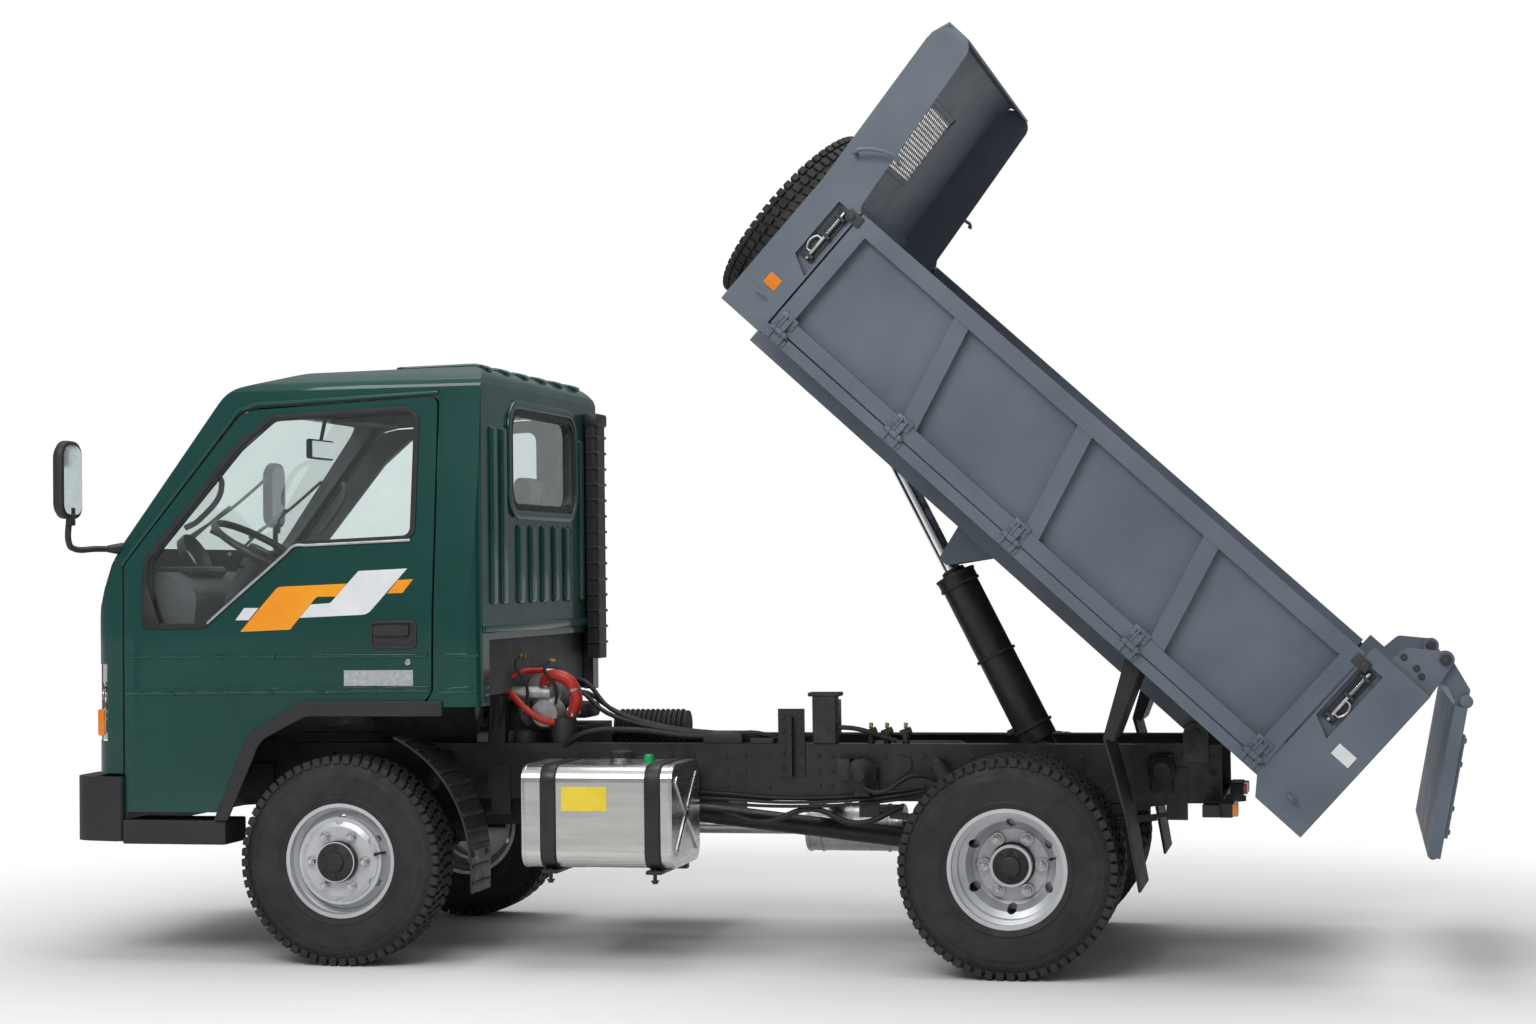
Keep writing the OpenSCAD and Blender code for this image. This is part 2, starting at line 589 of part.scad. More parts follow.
module front_bumper() truck() color([0.08, 0.08, 0.09]) {
    low = 449;
    high = 690;
    difference() {
        slab_z(low, high) polygon(rounded([[-bumper_front, 0], [-bumper_front + 25, -cab_half + 30, 90], [-860, -cab_half - 8, 20],
            [-860, cab_half + 8, 20], [-bumper_front + 25, cab_half - 30, 90]]));
        slab_z(low - 1, high - 30) polygon(rounded([[-bumper_front + 35, 0], [-bumper_front + 60, -cab_half + 60, 60], [-850, -cab_half + 30],
            [-850, cab_half - 30], [-bumper_front + 60, cab_half - 60, 60]]));
        slab_z(high - 31, high + 1) box2([-980, -cab_half + 20], [-850, cab_half - 20]);
    }
    both_sides() box([-bumper_front + 30, rail_in - 110, high - 40], [-cab_front + wall_t, rail_in - 60, nose_low]);
}
module box2(low, high) translate(low) square(high - low);

module side_steps() truck() color([0.08, 0.08, 0.09]) both_sides()
    box([-859, cab_half - 190, 440], [-445, cab_half, 530]);

// Arch line seen from the side; g moves it outward
function arch_pts(g) = [[-470 - g, 520], [-330 - g * 0.9, 840 + g * 0.4, 90], [-135 - g * 0.4, 950 + g, 60],
                        [door_rear + 30, 950 + g], [door_rear + 30, 400], [-470 - g, 400]];
module arch_flares() truck() color([0.07, 0.07, 0.07]) both_sides() difference() {
    slab_y(cab_half, cab_half + 14) polygon(rounded(arch_pts(22)));
    slab_y(cab_half - 1, cab_half + 16) polygon(rounded(arch_pts(-34)));
    box([-600, cab_half - 5, 300], [600, cab_half + 20, 531]);
}

mirror_arm = [-992, 945, 1545];
mirror_foot = [-875, 745];
module mirrors() truck() color([0.07, 0.07, 0.07]) both_sides() {
    slab_x(-1015, -975) polygon(rounded([[860, 1655, 30], [1030, 1655, 30], [1030, 1945, 40], [860, 1945, 40]]));
    translate(mirror_arm) cylinder(r = 10, h = 112);
    translate(mirror_arm) sphere(r = 12);
    reach = mirror_foot - [mirror_arm.x, mirror_arm.y];
    difference() {
        translate(mirror_arm) rotate([0, 90, atan2(reach.y, reach.x)]) cylinder(r = 10, h = norm(reach));
        cab_body(0);
    }
}

wheel_tilt = 30;
column_at = [-470, -400, 1545];
module steering_wheel() truck() color([0.1, 0.1, 0.1]) translate(column_at) rotate([0, wheel_tilt, 0]) {
    rotate_extrude($fn = 64) translate([195, 0]) circle(r = 14, $fn = 24);
    translate([0, 0, -45]) cylinder(r = 45, h = 40);
    for (a = [90, 210, 330]) rotate([0, 0, a]) box([30, -12, -30], [193, 12, -18]);
    for (a = [90, 210, 330]) rotate([0, 0, a]) box([181, -12, -30], [201, 12, 2]);
    translate([0, 0, -140]) cylinder(r = 18, h = 100);
}

module dashboard() truck() color([0.2, 0.2, 0.21]) {
    half = cab_half - wall_t - 70;
    slab_y(-half, half) polygon(rounded([[-880, 1060], [-640, 1060, 30], [-600, 1380, 60], [-740, 1460, 60], [-850, 1430, 20]]));
    translate(column_at) rotate([0, wheel_tilt, 0]) difference() {
        translate([0, 0, -330]) cylinder(r = 38, h = 270);
        translate([0, 0, -150]) cylinder(r = 18 + fit * 4, h = 200);
    }
}

// Seats: [middle y, width]
SEATS = [[-400, 480], [120, 400], [535, 370]];
module seats() truck() color([0.35, 0.36, 0.38]) for (s = SEATS) {
    y0 = s[0] - s[1] / 2;
    y1 = s[0] + s[1] / 2;
    slab_y(y0, y1) polygon(rounded([[-170, deck_z + 14], [330, deck_z + 14], [330, deck_z + 120, 20], [-190, deck_z + 160, 50]]));
    slab_y(y0, y1) polygon(rounded([[270, deck_z + 170, 30], [350, deck_z + 122, 10], [470, 1640, 30], [380, 1650, 40]]));
    slab_y(s[0] - 120, s[0] + 120) polygon(rounded([[385, 1665, 20], [465, 1665, 20], [475, 1830, 25], [400, 1830, 30]]));
}

module air_snorkel() truck() color([0.08, 0.08, 0.08]) {
    slab_z(1080, 2090) polygon(rounded([[cab_rear + 3, 560, 10], [cab_rear + 58, 560, 20], [cab_rear + 58, 690, 20], [cab_rear + 3, 690, 10]]));
}
module intake_hose() truck() color([0.07, 0.07, 0.07])
    translate([812, 100, 832]) rotate([0, 90, 0]) cylinder(r = 64, h = 290);

// ---- hoist ----

module hoist() truck() translate([hoist_foot[0], 0, hoist_foot[1]]) rotate([0, -90 + hoist_angle, 0]) children();
module hoist_barrel() hoist() color([0.06, 0.06, 0.07]) difference() {
    union() {
        pin_y(0, 0, 42, -60, 60);
        cylinder(r = 52, h = 80);
        translate([0, 0, 50]) cylinder(r = barrel_r, h = barrel_len - 50);
        translate([0, 0, barrel_len - 50]) cylinder(r = barrel_r + 5, h = 50);
    }
    translate([0, 0, 90]) cylinder(r = rod_r + fit, h = barrel_len);
    pin_y(0, 0, pivot_pin_r + fit, -61, 61);
}
module hoist_rod() hoist() color([0.8, 0.8, 0.8]) difference() {
    union() {
        translate([0, 0, barrel_len - rod_in]) cylinder(r = rod_r, h = hoist_len - barrel_len + rod_in - 20);
        pin_y(0, hoist_len, 36, -40, 40);
    }
    pin_y(0, hoist_len, pivot_pin_r + fit, -41, 41);
}

// ---- bed ----

// Cross members under the floor, measured rearward from the pivot
BED_CROSS = [bed_front + 70, bed_front + 400, hoist_eye_bed[0], -1250, -950, -650, -350, -60, 230];
module bed_floor() bed() color([0.33, 0.37, 0.41]) difference() {
    union() {
        box([bed_front, -bed_in, sill_high - floor_t], [bed_overhang, bed_in, sill_high]);
        both_sides() {
            // side sill and the long beam
            difference() {
                box([gate_front, bed_side - 60, sill_low], [gate_rear, bed_side, sill_high]);
                box([gate_front - 1, bed_side - 61, sill_low + 5], [gate_rear + 1, bed_side - 5, sill_high - 5]);
            }
            box([bed_front + 60, rail_in, beam_low], [20, beam_out, sill_high - floor_t + 1]);
            pin_y(0, 0, 29, rail_in, beam_out);
            // hinge lugs of the side gate, in pairs
            for (a = HINGES) for (e = [-1, 1]) {
                box([a + e * 24 - 7, bed_side - 1, sill_low + 5], [a + e * 24 + 7, gate_hinge[0], sill_high - 1]);
                translate([a + e * 24 - 7, gate_hinge[0], gate_hinge[1]]) rotate([0, 90, 0]) cylinder(r = 11, h = 14);
            }
            for (a = HINGES) translate([a - 31, gate_hinge[0], gate_hinge[1]]) rotate([0, 90, 0]) cylinder(r = 6, h = 62);
            // lugs that hold the rod's eye
            box([hoist_eye_bed[0] - 40, 46, hoist_eye_bed[1] - 36], [hoist_eye_bed[0] + 40, 58, sill_high - floor_t + 1]);
            pin_y(hoist_eye_bed[0], hoist_eye_bed[1], 26, 57, 70);
            // gussets beside the barrel
            slab_y(96, 106) polygon([[-1190, sill_low + 2], [-1143, -172], [-1105, -172], [-900, sill_low + 2]]);
        }
        for (a = BED_CROSS) box([a - 25, -bed_side + 55, sill_low], [a + 25, bed_side - 55, sill_high - floor_t + 1]);
    }
    both_sides() pin_y(0, 0, pivot_pin_r + fit, rail_in - 1, beam_out + 1);
}
HINGES = [for (i = [0:4]) gate_front + 55 + i * (gate_rear - gate_front - 110) / 4];

// Slot in a post's outer face for the gate's latch, sloped at its foot
module latch_slot(a0, a1, u0, u1)
    slab_y(bed_side - latch_depth, bed_side + 1) polygon([[a0, u0 + 40], [a1, u0], [a1, u1], [a0, u1]]);

// Front posts, bulkhead and the guard over the cab
module headboard() bed() color([0.33, 0.37, 0.41]) {
    lean = [[bed_front, gate_top - 1], [bed_front - guard_lean, guard_top - 90, 40], [bed_front - guard_lean + 25, guard_top, 60],
            [bed_front - guard_lean + 145, guard_top - 14, 50], [gate_front - 18, gate_top + 20, 10], [gate_front - 4, gate_top - 1]];
    both_sides() {
        difference() {
            box([bed_front, bed_in, sill_low - 6], [gate_front, bed_side, gate_top]);
            latch_slot(gate_front - 88, gate_front - 8, gate_top - 300, gate_top - 22);
        }
        slab_y(bed_side - 6, bed_side) polygon(rounded(lean));
    }
    box([bed_front, -bed_in - 1, sill_high], [bed_front + 30, bed_in + 1, gate_top]);
    difference() {
        slab_y(-bed_side + 5, bed_side - 5) polygon([[bed_front, gate_top - 1], [bed_front + 8, gate_top - 1],
            [bed_front - guard_lean + 8, guard_top - 70], [bed_front - guard_lean + 33, guard_top - 10], [bed_front - guard_lean + 120, guard_top - 14],
            [bed_front - guard_lean + 120, guard_top - 6], [bed_front - guard_lean + 25, guard_top - 2], [bed_front - guard_lean, guard_top - 68]]);
        box([bed_front - 100, -240, gate_top + 180], [bed_front + 100, 240, gate_top + 470]);
    }
    // spare wheel carrier
    box([bed_front - 40, -60, gate_low + 160], [bed_front + 1, 60, gate_low + 420]);
}

module rear_posts() bed() color([0.33, 0.37, 0.41]) both_sides() {
    difference() {
        slab_y(bed_in, bed_side) polygon([[gate_rear, sill_low], [gate_rear + 45, rear_post_low],
            [bed_overhang, rear_post_low], [bed_overhang, rear_post_top], [gate_rear, rear_post_top]]);
        latch_slot(gate_rear + 8, gate_rear + 88, gate_top - 300, gate_top - 22);
    }
    slab_y(bed_side - 36, bed_side - 22) polygon(rounded([[tail_pivot[0] - 130, rear_post_top - 1],
        [tail_pivot[0] - 120, rear_post_top + 70, 30], [tail_pivot[0] - 5, tail_pivot[1] + tail_tab_r],
        [tail_pivot[0] + tail_tab_r, tail_pivot[1] - 5], [bed_overhang, rear_post_top - 1]]));
    pin_y(tail_pivot[0], tail_pivot[1], tail_tab_r, bed_side - 36, bed_side - 22);
    pin_y(tail_pivot[0], tail_pivot[1], 12, bed_side - 66, bed_side - 30);
}

// Ribs of a side gate: [top, bottom], measured rearward from the pivot
module side_gate(side) bed() color([0.33, 0.37, 0.41]) scale([1, side, 1]) {
    g0 = gate_front + 8;
    g1 = gate_rear - 8;
    difference() {
        union() {
            box([g0, bed_in, gate_low], [g1, bed_in + 4, gate_top]);
            box([g0, bed_in, gate_low], [g1, bed_side, gate_low + 55]);
            box([g0, bed_in, gate_top - 60], [g1, bed_side, gate_top]);
            for (a = [g0, g1 - 60]) box([a, bed_in, gate_low], [a + 60, bed_side, gate_top]);
            for (i = [1:3]) {
                a = g0 + i * (g1 - g0) / 4;
                slab_y(bed_in, bed_side - 4) polygon([[a - 90, gate_top - 50], [a - 25, gate_top - 50], [a + 75, gate_low + 50], [a + 10, gate_low + 50]]);
            }
            for (a = HINGES) {
                box([a - 15, bed_side - 1, gate_low + 4], [a + 15, gate_hinge[0], gate_low + 45]);
                translate([a - 15, gate_hinge[0], gate_hinge[1]]) rotate([0, 90, 0]) cylinder(r = 11, h = 30);
            }
        }
        for (a = HINGES) translate([a - 40, gate_hinge[0], gate_hinge[1]]) rotate([0, 90, 0]) cylinder(r = 6 + fit, h = 80);
    }
}
module side_gate_left() side_gate(LEFT);
module side_gate_right() side_gate(RIGHT);

module tailgate() bed() translate([tail_pivot[0], 0, tail_pivot[1]]) rotate([0, -tail_open, 0]) translate([-tail_pivot[0], 0, -tail_pivot[1]])
color([0.33, 0.37, 0.41]) difference() {
    union() {
        box([tail_plate[0], -bed_side + 3, tail_low], [tail_plate[0] + 4, bed_side - 3, tail_top]);
        for (z = [tail_low, tail_top - 60]) box([tail_plate[0], -bed_side + 3, z], [tail_plate[1], bed_side - 3, z + 60]);
        for (y = [-bed_side + 3, -290, 230, bed_side - 63]) box([tail_plate[0], y, tail_low], [tail_plate[1], y + 60, tail_top]);
        both_sides() {
            pin_y(tail_pivot[0], tail_pivot[1], tail_tab_r, bed_side - 62, bed_side - 44);
            slab_y(bed_side - 62, bed_side - 44) polygon([[tail_pivot[0], tail_pivot[1] + tail_tab_r],
                [tail_plate[1], tail_top + 60], [tail_plate[1], tail_top - 40], [tail_plate[0], tail_top - 40],
                [tail_plate[0], tail_top + 10], [tail_pivot[0] - tail_tab_r * 0.8, tail_pivot[1] - tail_tab_r * 0.6]]);
        }
    }
    both_sides() pin_y(tail_pivot[0], tail_pivot[1], 12 + fit, bed_side - 70, bed_side - 20);
}

module bed_mudguards() bed() color([0.07, 0.07, 0.07]) both_sides() {
    slab_y(rear_in_y - 60, wheel_out - 5) polygon([[-355, sill_low - 1], [-285, sill_low - 1], [-190, -170], [-225, -185]]);
    slab_y(rear_in_y - 60, wheel_out - 5) polygon([[-225, -185], [-215, -178], [20, -330], [222, -490], [216, -498], [14, -340]]);
}

spare_at = [bed_front - 40 - tyre_w / 2, gate_low + 300];
module spare() bed() translate([spare_at[0], 0, spare_at[1]]) rotate([0, -90, 0]) children();
module spare_tyre() color([0.09, 0.09, 0.09]) spare() tyre_ring();
module spare_rim() color([0.8, 0.81, 0.83]) spare() {
    rim_ring();
    rim_disc(-dish + 14);
}

chassis_rail_left();
chassis_rail_right();
cross_member_front();
cross_member_engine();
cross_member_gearbox();
cross_member_middle();
cross_member_hoist();
cross_member_rear();
cab_rest();
front_bumper();
side_steps();
cab_floor();
cab_shell();
front_panel();
cab_glass();
door_left();
door_right();
door_glass_left();
door_glass_right();
headlamps();
mirrors();
arch_flares();
steering_wheel();
dashboard();
seats();
engine_block();
air_snorkel();
intake_hose();
front_axle();
leaf_springs();
knuckle_left();
knuckle_right();
front_tyre_left();
front_tyre_right();
front_rim_left();
front_rim_right();
rear_axle();
rear_tyres_left();
rear_tyres_right();
rear_rims_left();
rear_rims_right();
propshaft();
exhaust();
fuel_tank();
battery_box();
front_mudguards();
tail_lights();
hoist_barrel();
hoist_rod();
bed_floor();
headboard();
rear_posts();
side_gate_left();
side_gate_right();
tailgate();
bed_mudguards();
spare_tyre();
spare_rim();
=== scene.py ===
# %% [markdown]
# # A light dump truck, dressed in Blender
#
# The truck's solids come from a CAD model: rails, axles, tyres, cab panels and
# the tipping bed, each one already in its true place and on its own moving body.
# Blender adds what CAD leaves plain: tread, paint, rubber seals, stitching,
# bolts, hoses and lamps. Every cell below makes one of these.

# %% Load the fixed frame
import json
import math
from math import cos, pi, radians, sin

import bmesh
import bpy
from mathutils import Matrix, Vector
from mathutils.bvhtree import BVHTree

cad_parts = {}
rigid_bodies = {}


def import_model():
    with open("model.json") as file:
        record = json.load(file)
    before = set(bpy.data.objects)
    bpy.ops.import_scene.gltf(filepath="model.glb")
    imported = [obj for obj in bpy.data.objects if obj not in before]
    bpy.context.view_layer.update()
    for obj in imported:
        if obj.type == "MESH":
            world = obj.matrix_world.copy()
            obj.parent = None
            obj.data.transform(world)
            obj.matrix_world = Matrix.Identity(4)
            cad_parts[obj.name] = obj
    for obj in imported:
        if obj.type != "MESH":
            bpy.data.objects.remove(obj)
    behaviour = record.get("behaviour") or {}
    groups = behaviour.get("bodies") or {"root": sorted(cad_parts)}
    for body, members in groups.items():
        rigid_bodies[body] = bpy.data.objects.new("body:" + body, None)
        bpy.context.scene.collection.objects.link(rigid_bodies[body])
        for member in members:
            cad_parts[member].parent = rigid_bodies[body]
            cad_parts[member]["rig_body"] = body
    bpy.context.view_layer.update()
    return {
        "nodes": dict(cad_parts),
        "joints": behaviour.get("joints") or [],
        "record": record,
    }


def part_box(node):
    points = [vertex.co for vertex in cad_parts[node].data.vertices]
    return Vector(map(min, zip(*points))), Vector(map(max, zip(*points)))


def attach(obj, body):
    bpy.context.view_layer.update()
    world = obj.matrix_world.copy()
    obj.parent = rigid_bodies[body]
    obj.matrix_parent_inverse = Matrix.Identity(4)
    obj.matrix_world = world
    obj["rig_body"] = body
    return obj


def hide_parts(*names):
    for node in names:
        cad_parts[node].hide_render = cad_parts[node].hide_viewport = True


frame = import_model()

# %% [markdown]
# ## Where things are
#
# A truck is measured from its front axle, so every place below is a distance
# behind the axle, to the right of the middle, and above the ground. The axle's
# own place is read from the tyres. The bed, its tailgate and the hoist each
# have their own tilted frame, taken from their joints, so their parts can be
# drawn as if the bed lay flat.

# %% Truck, bed, tailgate and hoist frames
def joint(name):
    return next(j for j in frame["joints"] if j["name"] == name)

tyre_low, tyre_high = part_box("front_tyre_left")
AXLE_X = (tyre_low.x + tyre_high.x) / 2
TYRE_R = (tyre_high.z - tyre_low.z) / 2
WHEEL_Y = -(tyre_low.y + tyre_high.y) / 2
rear_low, rear_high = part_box("rear_tyres_left")
WHEELBASE = (rear_low.x + rear_high.x) / 2 - AXLE_X
TRUCK = Matrix.Translation((AXLE_X, 0, 0))

def turned(place, degrees):
    return Matrix.Translation(place) @ Matrix.Rotation(radians(degrees), 4, "Y")

BED_UP = -joint("bed_tilt")["range_deg"][0]
BED = turned(joint("bed_tilt")["pos_m"], BED_UP)
TAIL_PIVOT = Vector(joint("tailgate_swing")["pos_m"])
TAIL_HANG = joint("tailgate_swing")["range_deg"][0]
TAIL = turned(TAIL_PIVOT, TAIL_HANG) @ Matrix.Translation(-TAIL_PIVOT) @ BED
slide = Vector(joint("hoist_extend")["axis"])
HOIST = turned(joint("hoist_swing")["pos_m"], math.degrees(math.atan2(slide.x, slide.z)))
print("axle", round(AXLE_X, 3), "wheelbase", round(WHEELBASE, 3), "bed up", BED_UP, "degrees")

# %% [markdown]
# ## A box of shaping tools
#
# Most parts of a truck are pressed, cut or turned, so a few tools are enough: a
# block, a bar between two points, a plate cut to an outline, a turned part, a
# bent pipe and a bolt. Each starts from a bmesh operator, because an operator
# keeps faces closed and pointing outwards. A Part collects what they make and
# turns it into one object that rides on a body of the truck.

# %% The Part tool
AXES = {"x": Matrix(((0, 0, 1), (1, 0, 0), (0, 1, 0))).to_4x4(),
        "y": Matrix(((1, 0, 0), (0, 0, 1), (0, 1, 0))).to_4x4(),
        "z": Matrix.Identity(4)}

class Part:
    def __init__(self, place=TRUCK):
        self.bm = bmesh.new()
        self.place = place
        self.paint = 0

    def add(self, piece, place=None, outward=False):
        if place is not None:
            bmesh.ops.transform(piece, matrix=place, verts=piece.verts[:])
        if outward or (place is not None and place.to_3x3().determinant() < 0):
            bmesh.ops.recalc_face_normals(piece, faces=piece.faces[:])
        for face in piece.faces:
            face.material_index = self.paint
        scratch = bpy.data.meshes.new("scratch")
        piece.to_mesh(scratch)
        piece.free()
        self.bm.from_mesh(scratch)
        bpy.data.meshes.remove(scratch)
        return self

    def block(self, low, high, edge=0.0, steps=1, place=None):
        low, high = Vector(low), Vector(high)
        fit = Matrix.Translation((low + high) / 2) @ Matrix.Diagonal((*(high - low), 1))
        piece = bmesh.new()
        bmesh.ops.create_cube(piece, size=1, matrix=fit)
        if edge:
            bmesh.ops.bevel(piece, geom=piece.edges[:], offset=edge, segments=steps, profile=0.5,
                affect="EDGES", material=-1)
        return self.add(piece, place)

    def bar(self, start, end, radius, end_radius=None, sides=24, edge=0.0):
        start, end = Vector(start), Vector(end)
        along = end - start
        piece = bmesh.new()
        bmesh.ops.create_cone(piece, cap_ends=True, segments=sides, radius1=radius,
                              radius2=radius if end_radius is None else end_radius, depth=along.length)
        if edge:
            rims = [e for e in piece.edges if len(e.link_faces[0].verts) != len(e.link_faces[1].verts)]
            bmesh.ops.bevel(piece, geom=rims, offset=edge, segments=2, profile=0.5, affect="EDGES",
                material=-1)
        return self.add(piece, Matrix.Translation((start + end) / 2) @ along.to_track_quat("Z",
            "Y").to_matrix().to_4x4())

    def plate(self, outline, axis, start, end, corner=0.0, edge=0.0, steps=4, place=None):
        """A sheet cut to an outline of (u, v) corners, thick from start to end along axis."""
        piece = bmesh.new()
        corners = [piece.verts.new((*p[:2], start)) for p in outline]
        piece.faces.new(corners)
        for vert, point in zip(corners, outline):
            round_by = point[2] if len(point) > 2 else corner
            if round_by:
                bmesh.ops.bevel(piece, geom=[vert], offset=round_by, segments=steps, profile=0.5,
                    affect="VERTICES", material=-1)
        top = bmesh.ops.extrude_face_region(piece, geom=piece.faces[:])["geom"]
        bmesh.ops.translate(piece, verts=[g for g in top if isinstance(g, bmesh.types.BMVert)],
            vec=(0, 0, end - start))
        bmesh.ops.recalc_face_normals(piece, faces=piece.faces[:])
        if edge:
            rims = [e for e in piece.edges if abs(e.verts[0].co.z - e.verts[1].co.z) < 1e-6]
            bmesh.ops.bevel(piece, geom=rims, offset=edge, segments=2, profile=0.5, affect="EDGES",
                material=-1)
        bmesh.ops.transform(piece, matrix=AXES[axis], verts=piece.verts[:])
        if AXES[axis].to_3x3().determinant() < 0:
            bmesh.ops.reverse_faces(piece, faces=piece.faces[:])
        return self.add(piece, place)

    def lathe(self, profile, place, steps=48, angle=2 * pi):
        """A turned part: profile is (radius, height) corners, and place puts its axis on Z."""
        piece = bmesh.new()
        line = [piece.verts.new((r, 0, h)) for r, h in profile]
        edges = [piece.edges.new(pair) for pair in zip(line, line[1:])]
        full = abs(angle - 2 * pi) < 1e-6
        bmesh.ops.spin(piece, geom=line + edges, angle=angle, steps=steps, axis=(0, 0, 1), use_merge=full)
        bmesh.ops.remove_doubles(piece, verts=piece.verts[:], dist=1e-6)
        if not full:
            bmesh.ops.holes_fill(piece, edges=piece.edges[:], sides=0)
        return self.add(piece, place, outward=True)

    def pipe(self, points, radius, closed=False, steps=6, sides=4, smooth=True):
        """A bent pipe: a bevelled curve through the points, turned into mesh."""
        curve = bpy.data.curves.new("pipe", "CURVE")
        curve.dimensions, curve.bevel_depth, curve.bevel_resolution = "3D", radius, sides
        curve.resolution_u, curve.use_fill_caps = steps, not closed
        spline = curve.splines.new("BEZIER" if smooth else "POLY")
        if smooth:
            spline.bezier_points.add(len(points) - 1)
            for knot, point in zip(spline.bezier_points, points):
                knot.co, knot.handle_left_type, knot.handle_right_type = point, "AUTO", "AUTO"
        else:
            spline.points.add(len(points) - 1)
            for knot, point in zip(spline.points, points):
                knot.co = (*point, 1)
        spline.use_cyclic_u = closed
        carrier = bpy.data.objects.new("pipe", curve)
        bpy.context.scene.collection.objects.link(carrier)
        piece = bmesh.new()
        piece.from_mesh(carrier.evaluated_get(bpy.context.evaluated_depsgraph_get()).to_mesh())
        bmesh.ops.remove_doubles(piece, verts=piece.verts[:], dist=1e-6)
        bpy.data.objects.remove(carrier)
        bpy.data.curves.remove(curve)
        return self.add(piece, outward=True)

    def bolt(self, at, facing, radius=0.009, height=0.007):
        """A hexagon head on its washer."""
        at, facing = Vector(at), Vector(facing).normalized()
        self.bar(at - facing * 0.001, at + facing * height * 0.25, radius * 1.35, sides=16)
        return self.bar(at, at + facing * height, radius, radius * 0.94, sides=6)

    def done(self, name, body, slot, *paints, both=False, sharp=35, replaces=()):
        bm = self.bm
        if both:
            twin = bmesh.ops.duplicate(bm, geom=bm.verts[:] + bm.edges[:] + bm.faces[:])["geom"]
            bmesh.ops.scale(bm, vec=(1, -1, 1), verts=[g for g in twin if isinstance(g,
                bmesh.types.BMVert)])
            bmesh.ops.reverse_faces(bm, faces=[g for g in twin if isinstance(g, bmesh.types.BMFace)])
        bmesh.ops.transform(bm, matrix=self.place, verts=bm.verts[:])
        mesh = bpy.data.meshes.new(name)
        bm.to_mesh(mesh)
        bm.free()
        return seat(name, mesh, body, paints, sharp, replaces)

def seat(name, mesh, body, paints, sharp=35, replaces=()):
    """Gives a mesh its paint and shading, and lets it ride on its body."""
    mesh.shade_smooth()
    mesh.set_sharp_from_angle(angle=radians(sharp))
    piece = bpy.data.objects.new(name, mesh)
    bpy.context.scene.collection.objects.link(piece)
    for paint in paints:
        mesh.materials.append(paint)
    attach(piece, body)
    if replaces:
        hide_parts(*replaces)
    print(f"{name}: {sum(len(p.vertices) - 2 for p in mesh.polygons)} triangles on {body}")
    return piece

# %% [markdown]
# ## Easing the edges of a CAD part
#
# No steel edge is perfectly sharp: the folded edge of a panel catches a thin
# line of light. The CAD node's own mesh is left alone. A copy of it is merged,
# its flat faces are joined again, and a Bevel modifier rounds the edges. The
# copy then stands for the node, which stays hidden for the physics.

# %% The eased copy
def eased(node, width, paint, steps=2, sharp=30):
    source = frame["nodes"][node]
    bm = bmesh.new()
    bm.from_mesh(source.data)
    bmesh.ops.remove_doubles(bm, verts=bm.verts[:], dist=2e-5)
    bmesh.ops.dissolve_limit(bm, angle_limit=radians(0.5), verts=bm.verts[:], edges=bm.edges[:])
    mesh = bpy.data.meshes.new(node + "_eased")
    bm.to_mesh(mesh)
    bm.free()
    piece = seat(node + "_eased", mesh, source["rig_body"], [paint], sharp, [node])
    ease = piece.modifiers.new("ease", "BEVEL")
    ease.width, ease.segments, ease.limit_method, ease.angle_limit = width, steps, "ANGLE", radians(30)
    ease.use_clamp_overlap, ease.harden_normals = True, True
    return piece

print("tools ready")

# %% [markdown]
# ## Paints, rubbers and metals
#
# A finish is colour plus how rough it is, and both wander a little over a real
# surface. One recipe serves them all: noise read from Object coordinates tints
# the colour between two near shades and moves the roughness between two
# limits, and a finer noise gives the grain as a bump. What is the same all over
# a surface, such as the clear coat, is set on the shader's own socket.

